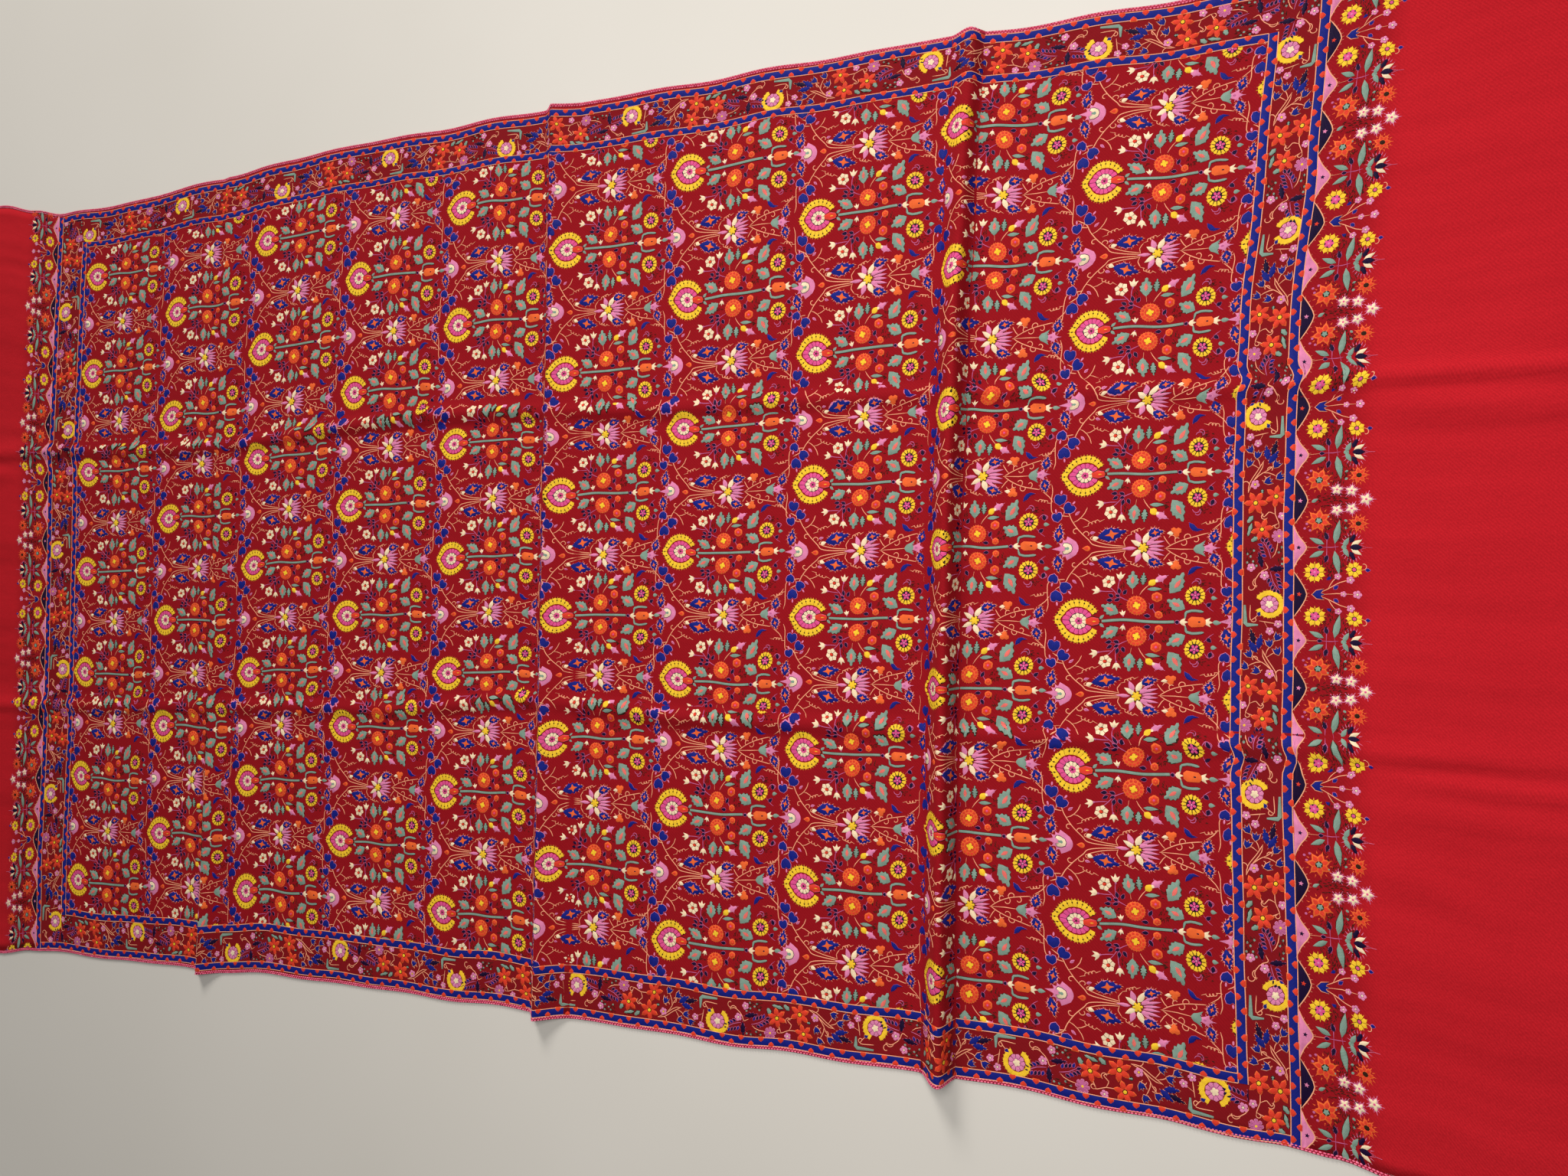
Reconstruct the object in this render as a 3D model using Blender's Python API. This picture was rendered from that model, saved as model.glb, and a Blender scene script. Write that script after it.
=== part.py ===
"""An embroidered pashmina shawl, one loom width of fine twill about 2 m long, laid flat.

The cloth is a thin wall that rests on its flat underside and lifts along its old fold lines.
X runs along the length, Y across the width, Z up. The shape is measured from a point on
the cloth, and the finished pieces are then centred, with the origin under the middle.
"""

from collections import namedtuple

import bmesh
import bpy
import numpy as np

# Cloth and edging, in metres
CLOTH_WALL = 0.0012
EDGING_WALL = 0.0018
EDGING_WIDTH = 0.0036
SEAM_GAP = 0.0003
LEFT_END = -1.605
RIGHT_END = 0.390

# Selvedges: where the two long edges lie. The embroidered middle draws them in a little,
# and the plain ends flare out.
Selvedge = namedtuple("Selvedge", "along back front")
SELVEDGES = [
    Selvedge(LEFT_END, 0.592, -0.473),
    Selvedge(-1.520, 0.579, -0.464),
    Selvedge(-1.446, 0.564, -0.455),
    Selvedge(-1.385, 0.550, -0.443),
    Selvedge(-1.250, 0.551, -0.439),
    Selvedge(-1.100, 0.560, -0.435),
    Selvedge(-0.917, 0.571, -0.4265),
    Selvedge(-0.609, 0.571, -0.4250),
    Selvedge(-0.340, 0.570, -0.4275),
    Selvedge(-0.190, 0.569, -0.4265),
    Selvedge(-0.073, 0.565, -0.4280),
    Selvedge(0.030, 0.563, -0.4360),
    Selvedge(0.130, 0.565, -0.4405),
    Selvedge(0.178, 0.569, -0.4450),
    Selvedge(0.230, 0.576, -0.4570),
    Selvedge(0.310, 0.586, -0.4690),
    Selvedge(RIGHT_END, 0.592, -0.4760),
]
WAVE_HEIGHT = 0.0009
WAVE_LENGTHS = (0.113, 0.171)
END_BOW = 0.006

# Folds across the width. Each has sections from the front selvedge to the back one:
# crest position along the cloth, and height. Sharpness 0 is a rounded ridge, 1 a pressed
# crease. Push is how far the crest carries the selvedge outwards.
Section = namedtuple("Section", "across crest height")
Fold = namedtuple("Fold", "name left_run right_run sharpness front_push back_push sections")
FOLDS = [
    Fold(
        "standing_ridge", 0.0230, 0.0110, 0.0, 0.0030, 0.0010,
        [
            Section(-0.430, -0.1520, 0.0255),
            Section(-0.150, -0.1510, 0.0255),
            Section(0.067, -0.1490, 0.0240),
            Section(0.270, -0.1430, 0.0215),
            Section(0.400, -0.1370, 0.0160),
            Section(0.565, -0.1290, 0.0105),
        ],
    ),
    Fold(
        "pressed_crease", 0.0120, 0.0380, 1.0, 0.0040, 0.0020,
        [
            Section(-0.430, -0.5940, 0.0140),
            Section(-0.250, -0.5960, 0.0110),
            Section(0.157, -0.5990, 0.0095),
            Section(0.400, -0.6010, 0.0080),
            Section(0.570, -0.6030, 0.0085),
        ],
    ),
    Fold(
        "far_crease", 0.0110, 0.0340, 1.0, 0.0035, 0.0005,
        [
            Section(-0.440, -1.0800, 0.0095),
            Section(-0.300, -1.0810, 0.0065),
            Section(-0.050, -1.0830, 0.0032),
            Section(0.560, -1.0860, 0.0018),
        ],
    ),
]

# Soft creases along the length, at the thirds of the width, where the cloth was folded
LengthCrease = namedtuple("LengthCrease", "name front_run back_run sections")
Station = namedtuple("Station", "along crest height")
LENGTH_CREASES = [
    LengthCrease(
        "front_third", 0.0150, 0.0110,
        [
            Station(LEFT_END, -0.1240, 0.0020),
            Station(-1.470, -0.1200, 0.0036),
            Station(-0.820, -0.1070, 0.0042),
            Station(-0.617, -0.0900, 0.0048),
            Station(-0.410, -0.1030, 0.0056),
            Station(-0.105, -0.1080, 0.0030),
            Station(0.155, -0.1080, 0.0030),
            Station(0.250, -0.1110, 0.0045),
            Station(RIGHT_END, -0.1160, 0.0010),
        ],
    ),
    LengthCrease(
        "back_third", 0.0140, 0.0120,
        [
            Station(LEFT_END, 0.2290, 0.0030),
            Station(-1.496, 0.2250, 0.0042),
            Station(-1.121, 0.2140, 0.0048),
            Station(-0.749, 0.2330, 0.0062),
            Station(-0.440, 0.2210, 0.0052),
            Station(-0.170, 0.2180, 0.0040),
            Station(-0.036, 0.2100, 0.0030),
            Station(0.096, 0.2030, 0.0032),
            Station(0.273, 0.2060, 0.0052),
            Station(RIGHT_END, 0.2040, 0.0044),
        ],
    ),
]

# Ripples that fan out over the plain ends
Ripple = namedtuple("Ripple", "from_along from_across to_along to_across half_width height")
RIPPLES = [
    Ripple(0.190, 0.180, 0.430, 0.170, 0.0150, 0.0048),
    Ripple(0.205, -0.132, 0.430, -0.146, 0.0130, 0.0036),
    Ripple(0.205, -0.152, 0.430, -0.177, 0.0140, 0.0034),
    Ripple(0.195, -0.188, 0.330, -0.262, 0.0150, 0.0026),
    Ripple(0.205, 0.066, 0.290, 0.046, 0.0130, 0.0016),
    Ripple(-1.650, 0.200, -1.450, 0.192, 0.0150, 0.0036),
    Ripple(-1.650, -0.168, -1.455, -0.146, 0.0150, 0.0030),
]
RIPPLE_FADE = 0.3

# Mesh lines. The offsets set lines close together over a crest and at its feet.
COLUMN_SPACING = 0.038
ROW_SPACING = 0.052
FOLD_LINES = {
    "standing_ridge": (
        -0.0300, -0.0230, -0.0185, -0.0140, -0.0095, -0.0050, 0.0,
        0.0030, 0.0055, 0.0080, 0.0110, 0.0170,
    ),
    "pressed_crease": (-0.0180, -0.0120, -0.0055, 0.0, 0.0090, 0.0200, 0.0380),
    "far_crease": (-0.0160, -0.0110, -0.0050, 0.0, 0.0080, 0.0180, 0.0340),
}
CREASE_LINES = {
    "front_third": (-0.0850, -0.0680, -0.0540, -0.0410, -0.0280, -0.0150, -0.0070, 0.0, 0.0110),
    "back_third": (-0.0540, -0.0400, -0.0270, -0.0140, -0.0070, 0.0, 0.0060, 0.0120),
}
SLOPE_STEP = 0.0004

CRIMSON = (0.56, 0.018, 0.024, 1.0)
EDGING_PINK = (0.55, 0.065, 0.095, 1.0)


def smooth(t):
    """0 to 1 with level ends, for t from 0 to 1."""
    t = np.clip(t, 0.0, 1.0)
    return t * t * (3.0 - 2.0 * t)


def read_between(at, rows, place, value):
    """A column of a table, read smoothly between its rows."""
    places = np.array([getattr(row, place) for row in rows])
    values = np.array([getattr(row, value) for row in rows])
    i = np.clip(np.searchsorted(places, at) - 1, 0, len(rows) - 2)
    t = smooth((at - places[i]) / (places[i + 1] - places[i]))
    return values[i] + t * (values[i + 1] - values[i])


def rise(offset, low_run, high_run, sharpness):
    """The outline of a ridge, 1 at its crest and 0 beyond its feet."""
    share = np.where(offset < 0.0, 1.0 + offset / low_run, 1.0 - offset / high_run)
    share = np.clip(share, 0.0, 1.0)
    return (1.0 - sharpness) * smooth(share) + sharpness * share**1.5


def fold_rise(fold, x, y):
    crest = read_between(y, fold.sections, "across", "crest")
    return rise(x - crest, fold.left_run, fold.right_run, fold.sharpness)


def fold_height(fold, x, y):
    return read_between(y, fold.sections, "across", "height") * fold_rise(fold, x, y)


def crease_height(crease, x, y):
    crest = read_between(x, crease.sections, "along", "crest")
    height = read_between(x, crease.sections, "along", "height")
    return height * rise(y - crest, crease.front_run, crease.back_run, 0.0)


def ripple_height(ripple, x, y):
    dx = ripple.to_along - ripple.from_along
    dy = ripple.to_across - ripple.from_across
    length = np.hypot(dx, dy)
    along = ((x - ripple.from_along) * dx + (y - ripple.from_across) * dy) / length**2
    aside = ((x - ripple.from_along) * dy - (y - ripple.from_across) * dx) / length
    ends = smooth(along / RIPPLE_FADE) * smooth((1.0 - along) / RIPPLE_FADE)
    return ripple.height * ends * smooth(1.0 - np.abs(aside) / ripple.half_width)


def height(x, y):
    """How far the underside lifts off the surface it lies on. Crossing ridges blend."""
    forms = [fold_height(fold, x, y) for fold in FOLDS]
    forms += [crease_height(crease, x, y) for crease in LENGTH_CREASES]
    forms += [ripple_height(ripple, x, y) for ripple in RIPPLES]
    return np.sqrt(sum(form**2 for form in forms))


def waves(x):
    first, second = WAVE_LENGTHS
    return WAVE_HEIGHT * (np.sin(2 * np.pi * x / first) + np.sin(2 * np.pi * x / second))


def front_edge(x):
    y = read_between(x, SELVEDGES, "along", "front")
    push = sum(fold.front_push * fold_rise(fold, x, y) for fold in FOLDS)
    return y - push + waves(x)


def back_edge(x):
    y = read_between(x, SELVEDGES, "along", "back")
    push = sum(fold.back_push * fold_rise(fold, x, y) for fold in FOLDS)
    return y + push + waves(x + WAVE_LENGTHS[0] / 3)


def end_line(place, bow):
    """An end of the cloth, bowed a little outwards."""
    return lambda y: place + bow * (1.0 - ((y - 0.06) / 0.53) ** 2)


def beside(line, offset):
    return lambda at: line(at) + offset


def between(line, other, share):
    return lambda at: line(at) + share * (other(at) - line(at))


def crest_line(sections, place):
    return lambda at: read_between(at, sections, place, "crest")


def mesh_lines(groups, spacing):
    """Every line of one direction, with plain lines spread between the groups."""
    lines = list(groups[0])
    for group in groups[1:]:
        first, last = lines[-1], group[0]
        count = max(1, int(np.ceil((last(0.0) - first(0.0)) / spacing)))
        lines += [between(first, last, k / count) for k in range(1, count)]
        lines += group
    return lines


def column_lines():
    groups = [[end_line(LEFT_END, -END_BOW)]]
    for fold in sorted(FOLDS, key=lambda each: each.sections[0].crest):
        crest = crest_line(fold.sections, "across")
        groups.append([beside(crest, offset) for offset in FOLD_LINES[fold.name]])
    groups.append([end_line(RIGHT_END, END_BOW)])
    return mesh_lines(groups, COLUMN_SPACING)


def row_lines():
    groups = [[beside(front_edge, EDGING_WIDTH + SEAM_GAP)]]
    for crease in LENGTH_CREASES:
        crest = crest_line(crease.sections, "along")
        groups.append([beside(crest, offset) for offset in CREASE_LINES[crease.name]])
    groups.append([beside(back_edge, -EDGING_WIDTH - SEAM_GAP)])
    return mesh_lines(groups, ROW_SPACING)


def crossings(columns, rows):
    """Where each column line meets each row line, seen from above."""
    x = np.zeros((len(columns), len(rows)))
    y = np.zeros_like(x)
    for _ in range(3):
        x = np.array([column(y[i]) for i, column in enumerate(columns)])
        y = np.array([row(x[:, j]) for j, row in enumerate(rows)]).T
    return x, y


def wall_points(x, y, thickness):
    """The underside and the top of a wall, its thickness square to the slope along X."""
    low = height(x, y)
    slope = (height(x + SLOPE_STEP, y) - height(x - SLOPE_STEP, y)) / (2 * SLOPE_STEP)
    steep = np.sqrt(1.0 + slope**2)
    under = np.stack([x, y, low], axis=-1)
    top = np.stack([x - thickness * slope / steep, y, low + thickness / steep], axis=-1)
    return under, top


def add_wall(name, x, y, thickness, material):
    """One closed wall over a net of points, as an object."""
    under, top = wall_points(x, y, thickness)
    mesh = bmesh.new()
    nets = [[[mesh.verts.new(p) for p in line] for line in net] for net in (under, top)]
    low, high = nets
    columns, rows = x.shape
    for i in range(columns - 1):
        for j in range(rows - 1):
            corners = (i, j), (i + 1, j), (i + 1, j + 1), (i, j + 1)
            mesh.faces.new([high[a][b] for a, b in corners])
            mesh.faces.new([low[a][b] for a, b in reversed(corners)])
    rim = [(i, 0) for i in range(columns)]
    rim += [(columns - 1, j) for j in range(1, rows)]
    rim += [(i, rows - 1) for i in range(columns - 2, -1, -1)]
    rim += [(0, j) for j in range(rows - 2, 0, -1)]
    for (a, b), (c, d) in zip(rim, rim[1:] + rim[:1]):
        mesh.faces.new([low[a][b], low[c][d], high[c][d], high[a][b]])
    bmesh.ops.triangulate(mesh, faces=mesh.faces[:], quad_method="FIXED")
    data = bpy.data.meshes.new(name)
    mesh.to_mesh(data)
    mesh.free()
    data.materials.append(material)
    data.shade_smooth()
    data.set_sharp_from_angle(angle=np.radians(50))
    piece = bpy.data.objects.new(name, data)
    bpy.context.scene.collection.objects.link(piece)
    return piece


def fabric(name, colour, roughness):
    material = bpy.data.materials.new(name)
    material.use_nodes = True
    shader = material.node_tree.nodes["Principled BSDF"]
    shader.inputs["Base Color"].default_value = colour
    shader.inputs["Roughness"].default_value = roughness
    shader.inputs["Metallic"].default_value = 0.0
    shader.inputs["Sheen Weight"].default_value = 0.3
    return material


def edging_lines(edge, inwards):
    """The two sides of an edging that lies just outside the cloth, along a selvedge."""
    sides = [beside(edge, 0.0), beside(edge, inwards * EDGING_WIDTH)]
    return sides if inwards > 0 else sides[::-1]


def centre(pieces):
    """Puts the middle of the whole shawl over the origin, without changing any height."""
    corners = np.array([v.co[:] for piece in pieces for v in piece.data.vertices])
    middle = (corners.min(axis=0) + corners.max(axis=0)) / 2
    for piece in pieces:
        for vertex in piece.data.vertices:
            vertex.co.x -= middle[0]
            vertex.co.y -= middle[1]


def build():
    for old in list(bpy.data.objects):
        bpy.data.objects.remove(old, do_unlink=True)
    columns = column_lines()
    cloth = fabric("crimson_twill", CRIMSON, 0.85)
    edging = fabric("edging_stitch", EDGING_PINK, 0.8)
    nets = {
        "shawl_cloth": (row_lines(), CLOTH_WALL, cloth),
        "front_selvedge_edging": (edging_lines(front_edge, 1), EDGING_WALL, edging),
        "back_selvedge_edging": (edging_lines(back_edge, -1), EDGING_WALL, edging),
    }
    pieces = []
    for name, (rows, wall, material) in nets.items():
        x, y = crossings(columns, rows)
        pieces.append(add_wall(name, x, y, wall, material))
    centre(pieces)


build()
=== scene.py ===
"""The looks of the embroidered pashmina shawl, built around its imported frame.

The cloth is a fine wall on the form of its solid. Its flat layout has u along the length and
v across the width, in metres, and place() carries any flat point onto the folded cloth. The
embroidery is raised stitching, drawn in millimetres on that flat layout, one mesh for each
thread colour.
"""

import math

from collections import namedtuple

import bpy
import numpy as np
from mathutils import Matrix, Vector


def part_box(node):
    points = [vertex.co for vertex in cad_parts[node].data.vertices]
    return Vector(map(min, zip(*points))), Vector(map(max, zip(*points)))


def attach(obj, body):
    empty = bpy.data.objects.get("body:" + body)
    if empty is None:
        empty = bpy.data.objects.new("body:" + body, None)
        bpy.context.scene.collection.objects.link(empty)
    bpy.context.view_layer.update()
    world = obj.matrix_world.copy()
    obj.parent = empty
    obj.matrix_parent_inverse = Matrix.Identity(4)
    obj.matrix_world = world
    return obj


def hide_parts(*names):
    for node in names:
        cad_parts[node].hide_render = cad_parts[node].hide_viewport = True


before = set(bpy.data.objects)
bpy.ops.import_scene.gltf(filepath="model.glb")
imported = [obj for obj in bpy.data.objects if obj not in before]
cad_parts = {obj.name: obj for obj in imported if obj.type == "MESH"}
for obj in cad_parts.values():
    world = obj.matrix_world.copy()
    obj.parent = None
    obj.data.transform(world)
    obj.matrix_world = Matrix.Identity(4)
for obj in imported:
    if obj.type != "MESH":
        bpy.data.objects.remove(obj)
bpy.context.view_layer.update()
MM = 0.001

# Outline of the cloth as it lies, in metres, measured from a point on the cloth
LEFT_END = -1.605
RIGHT_END = 0.390
END_BOW = 0.006
END_MIDDLE, END_REACH = 0.06, 0.53
EDGING_WIDTH = 0.0036
SEAM_GAP = 0.0003
Selvedge = namedtuple("Selvedge", "along back front")
SELVEDGES = [
    Selvedge(LEFT_END, 0.592, -0.473),
    Selvedge(-1.520, 0.579, -0.464),
    Selvedge(-1.446, 0.564, -0.455),
    Selvedge(-1.385, 0.550, -0.443),
    Selvedge(-1.250, 0.551, -0.439),
    Selvedge(-1.100, 0.560, -0.435),
    Selvedge(-0.917, 0.571, -0.4265),
    Selvedge(-0.609, 0.571, -0.4250),
    Selvedge(-0.340, 0.570, -0.4275),
    Selvedge(-0.190, 0.569, -0.4265),
    Selvedge(-0.073, 0.565, -0.4280),
    Selvedge(0.030, 0.563, -0.4360),
    Selvedge(0.130, 0.565, -0.4405),
    Selvedge(0.178, 0.569, -0.4450),
    Selvedge(0.230, 0.576, -0.4570),
    Selvedge(0.310, 0.586, -0.4690),
    Selvedge(RIGHT_END, 0.592, -0.4760),
]
WAVE_HEIGHT = 0.0009
WAVE_LENGTHS = (0.113, 0.171)

# Folds across the width, each with its sections from the front selvedge to the back one
Section = namedtuple("Section", "across crest height")
Fold = namedtuple("Fold", "left_run right_run sharpness front_push back_push sections")
FOLDS = {
    "standing_ridge": Fold(
        0.0230, 0.0110, 0.0, 0.0030, 0.0010,
        [
            Section(-0.430, -0.1520, 0.0255),
            Section(-0.150, -0.1510, 0.0255),
            Section(0.067, -0.1490, 0.0240),
            Section(0.270, -0.1430, 0.0215),
            Section(0.400, -0.1370, 0.0160),
            Section(0.565, -0.1290, 0.0105),
        ],
    ),
    "pressed_crease": Fold(
        0.0120, 0.0380, 1.0, 0.0040, 0.0020,
        [
            Section(-0.430, -0.5940, 0.0140),
            Section(-0.250, -0.5960, 0.0110),
            Section(0.157, -0.5990, 0.0095),
            Section(0.400, -0.6010, 0.0080),
            Section(0.570, -0.6030, 0.0085),
        ],
    ),
    "far_crease": Fold(
        0.0110, 0.0340, 1.0, 0.0035, 0.0005,
        [
            Section(-0.440, -1.0800, 0.0095),
            Section(-0.300, -1.0810, 0.0065),
            Section(-0.050, -1.0830, 0.0032),
            Section(0.560, -1.0860, 0.0018),
        ],
    ),
}

# Soft creases along the length, at the thirds of the width
Station = namedtuple("Station", "along crest height")
LengthCrease = namedtuple("LengthCrease", "front_run back_run sections")
LENGTH_CREASES = [
    LengthCrease(
        0.0150, 0.0110,
        [
            Station(LEFT_END, -0.1240, 0.0020),
            Station(-1.470, -0.1200, 0.0036),
            Station(-0.820, -0.1070, 0.0042),
            Station(-0.617, -0.0900, 0.0048),
            Station(-0.410, -0.1030, 0.0056),
            Station(-0.105, -0.1080, 0.0030),
            Station(0.155, -0.1080, 0.0030),
            Station(0.250, -0.1110, 0.0045),
            Station(RIGHT_END, -0.1160, 0.0010),
        ],
    ),
    LengthCrease(
        0.0140, 0.0120,
        [
            Station(LEFT_END, 0.2290, 0.0030),
            Station(-1.496, 0.2250, 0.0042),
            Station(-1.121, 0.2140, 0.0048),
            Station(-0.749, 0.2330, 0.0062),
            Station(-0.440, 0.2210, 0.0052),
            Station(-0.170, 0.2180, 0.0040),
            Station(-0.036, 0.2100, 0.0030),
            Station(0.096, 0.2030, 0.0032),
            Station(0.273, 0.2060, 0.0052),
            Station(RIGHT_END, 0.2040, 0.0044),
        ],
    ),
]

# Ripples that fan out over the plain ends
Ripple = namedtuple("Ripple", "from_along from_across to_along to_across half_width height")
RIPPLES = [
    Ripple(0.190, 0.180, 0.430, 0.170, 0.0150, 0.0048),
    Ripple(0.205, -0.132, 0.430, -0.146, 0.0130, 0.0036),
    Ripple(0.205, -0.152, 0.430, -0.177, 0.0140, 0.0034),
    Ripple(0.195, -0.188, 0.330, -0.262, 0.0150, 0.0026),
    Ripple(0.205, 0.066, 0.290, 0.046, 0.0130, 0.0016),
    Ripple(-1.650, 0.200, -1.450, 0.192, 0.0150, 0.0036),
    Ripple(-1.650, -0.168, -1.455, -0.146, 0.0150, 0.0030),
]
RIPPLE_FADE = 0.3


def smooth(t):
    """0 to 1 with level ends, for t from 0 to 1."""
    t = np.clip(t, 0.0, 1.0)
    return t * t * (3.0 - 2.0 * t)


def read_between(at, rows, place_name, value_name):
    """A column of a table, read smoothly between its rows."""
    places = np.array([getattr(row, place_name) for row in rows])
    values = np.array([getattr(row, value_name) for row in rows])
    i = np.clip(np.searchsorted(places, at) - 1, 0, len(rows) - 2)
    t = smooth((at - places[i]) / (places[i + 1] - places[i]))
    return values[i] + t * (values[i + 1] - values[i])


def rise(offset, low_run, high_run, sharpness):
    """The outline of a ridge, 1 at its crest and 0 beyond its feet."""
    share = np.where(offset < 0.0, 1.0 + offset / low_run, 1.0 - offset / high_run)
    share = np.clip(share, 0.0, 1.0)
    return (1.0 - sharpness) * smooth(share) + sharpness * share**1.5


def fold_rise(fold, x, y):
    crest = read_between(y, fold.sections, "across", "crest")
    return rise(x - crest, fold.left_run, fold.right_run, fold.sharpness)


def fold_height(fold, x, y):
    return read_between(y, fold.sections, "across", "height") * fold_rise(fold, x, y)


def crease_height(crease, x, y):
    crest = read_between(x, crease.sections, "along", "crest")
    height_here = read_between(x, crease.sections, "along", "height")
    return height_here * rise(y - crest, crease.front_run, crease.back_run, 0.0)


def ripple_height(ripple, x, y):
    dx = ripple.to_along - ripple.from_along
    dy = ripple.to_across - ripple.from_across
    length = np.hypot(dx, dy)
    along = ((x - ripple.from_along) * dx + (y - ripple.from_across) * dy) / length**2
    aside = ((x - ripple.from_along) * dy - (y - ripple.from_across) * dx) / length
    ends = smooth(along / RIPPLE_FADE) * smooth((1.0 - along) / RIPPLE_FADE)
    return ripple.height * ends * smooth(1.0 - np.abs(aside) / ripple.half_width)


def height(x, y):
    """How far the underside lifts off the surface it lies on. Crossing ridges blend."""
    forms = [fold_height(fold, x, y) for fold in FOLDS.values()]
    forms += [crease_height(crease, x, y) for crease in LENGTH_CREASES]
    forms += [ripple_height(ripple, x, y) for ripple in RIPPLES]
    return np.sqrt(sum(form**2 for form in forms))


def waves(x):
    first, second = WAVE_LENGTHS
    return WAVE_HEIGHT * (np.sin(2 * np.pi * x / first) + np.sin(2 * np.pi * x / second))


def front_edge(x):
    y = read_between(x, SELVEDGES, "along", "front")
    push = sum(fold.front_push * fold_rise(fold, x, y) for fold in FOLDS.values())
    return y - push + waves(x)


def back_edge(x):
    y = read_between(x, SELVEDGES, "along", "back")
    push = sum(fold.back_push * fold_rise(fold, x, y) for fold in FOLDS.values())
    return y + push + waves(x + WAVE_LENGTHS[0] / 3)


def end_line(end, bow, y):
    """An end of the cloth, bowed a little outwards."""
    return end + bow * (1.0 - ((y - END_MIDDLE) / END_REACH) ** 2)


def row_shift():
    """From the point on the cloth that the tables start from to the middle of the part."""
    corner = RIGHT_END
    for _ in range(4):
        corner = end_line(RIGHT_END, END_BOW, back_edge(corner))
    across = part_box("back_selvedge_edging")[1].y - float(back_edge(corner))
    return np.array([-(LEFT_END + RIGHT_END) / 2, across, 0.0])


SHIFT = row_shift()

# Flat layout of the cloth, in metres. v runs from the front selvedge to the back one, and u
# follows the cloth over its folds from one known tree.
V_FRONT, V_BACK = -0.4275, 0.5725
WIDTH = V_BACK - V_FRONT
ANCHOR_U, ANCHOR_X = -0.4416, -0.4372
SKEW, SKEW_X, SKEW_Y = 0.020, -0.750, 0.070
TABLE_STEP_X, TABLE_STEP_V, TABLE_SPARE = 0.001, 0.004, 0.03
CLOTH_WALL = 0.0011
UNDERSIDE_LIFT = 0.0001
SLOPE_STEP = 0.0005
FLATNESS, REFINE_ROUNDS = 0.00020, 2


class FlatMap:
    """Carries points of the flat layout onto the folded cloth."""

    def __init__(self):
        self.xs = np.arange(LEFT_END - TABLE_SPARE, RIGHT_END + TABLE_SPARE, TABLE_STEP_X)
        self.vs = np.linspace(V_FRONT, V_BACK, int(WIDTH / TABLE_STEP_V) + 1)
        x, v = np.meshgrid(self.xs, self.vs, indexing="ij")
        y = self.across(x, v)
        z = height(x, y)
        slope = np.gradient(z, self.xs, axis=0)
        step = np.sqrt(1.0 + slope**2) * TABLE_STEP_X
        run = np.cumsum(step, axis=0) - step / 2
        start = np.array([np.interp(ANCHOR_X, self.xs, run[:, j]) for j in range(len(self.vs))])
        u = run - start + ANCHOR_U - SKEW * (x - SKEW_X) * (y - SKEW_Y)
        self.u = u
        self.us = np.arange(u.min(), u.max(), TABLE_STEP_X)
        columns = [np.interp(self.us, u[:, j], self.xs) for j in range(len(self.vs))]
        self.x = np.stack(columns, axis=1)
        vv = np.broadcast_to(self.vs, self.x.shape)
        self.y = self.across(self.x, vv)
        self.z = height(self.x, self.y)

    @staticmethod
    def across(x, v):
        front, back = front_edge(x), back_edge(x)
        return front + (v - V_FRONT) * (back - front) / WIDTH

    def flat_u(self, x, v):
        """The u of points given by their plan x and flat v."""
        j = (v - V_FRONT) / WIDTH * (len(self.vs) - 1)
        i = (x - self.xs[0]) / TABLE_STEP_X
        return self.sample(self.u, i, j)

    @staticmethod
    def sample(table, i, j):
        i = np.clip(i, 0, table.shape[0] - 1.001)
        j = np.clip(j, 0, table.shape[1] - 1.001)
        a, b = i.astype(int), j.astype(int)
        s, t = i - a, j - b
        low = table[a, b] * (1 - s) + table[a + 1, b] * s
        high = table[a, b + 1] * (1 - s) + table[a + 1, b + 1] * s
        return low * (1 - t) + high * t

    def read(self, u, v, *tables):
        i = (u - self.us[0]) / TABLE_STEP_X
        j = (v - V_FRONT) / WIDTH * (len(self.vs) - 1)
        return [self.sample(table, i, j) for table in tables]


def surface(x, y, up):
    """Points at a height above the underside, square to the cloth, in the row frame."""
    low = height(x, y)
    slope_x = (height(x + SLOPE_STEP, y) - height(x - SLOPE_STEP, y)) / (2 * SLOPE_STEP)
    slope_y = (height(x, y + SLOPE_STEP) - height(x, y - SLOPE_STEP)) / (2 * SLOPE_STEP)
    steep = np.sqrt(1.0 + slope_x**2 + slope_y**2)
    lift = up / steep
    points = np.stack([x - lift * slope_x, y - lift * slope_y, low + lift], axis=-1)
    return points + SHIFT


FLAT = FlatMap()

# How far the embroidery strays from an even layout, in millimetres, along and across
DRIFT_V = (-0.40, -0.33, -0.10, 0.22, 0.47, 0.54)
Drift = namedtuple("Drift", "u along across")
DRIFTS = [
    Drift(-1.36, (3, 4, 8, 0, 3, 3), (0, 3, 9, 8, 11, 3)),
    Drift(-1.00, (3, 2, -2, 0, 6, 6), (2, 6, 3, -3, 6, 2)),
    Drift(-0.50, (1, 1, 2, 3, 1, 1), (0, 3, 5, -3, 6, 2)),
    Drift(-0.10, (1, -2, -9, 0, -1, -1), (0, 1, 1, 1, 10, 5)),
    Drift(0.15, (7, 4, -4, -8, -1, 0), (-2, 0, 8, 7, 5, 2)),
]


def drift(u, v):
    """The two shifts at points of the layout, in metres."""
    shifts = []
    for side in ("along", "across"):
        rows = np.array([np.interp(v, DRIFT_V, getattr(row, side)) for row in DRIFTS])
        places = np.array([row.u for row in DRIFTS])
        i = np.clip(np.searchsorted(places, u) - 1, 0, len(places) - 2)
        t = np.clip((u - places[i]) / (places[i + 1] - places[i]), 0.0, 1.0)
        k = np.arange(len(u))
        shifts.append((rows[i, k] * (1 - t) + rows[i + 1, k] * t) * MM)
    return shifts


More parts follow.
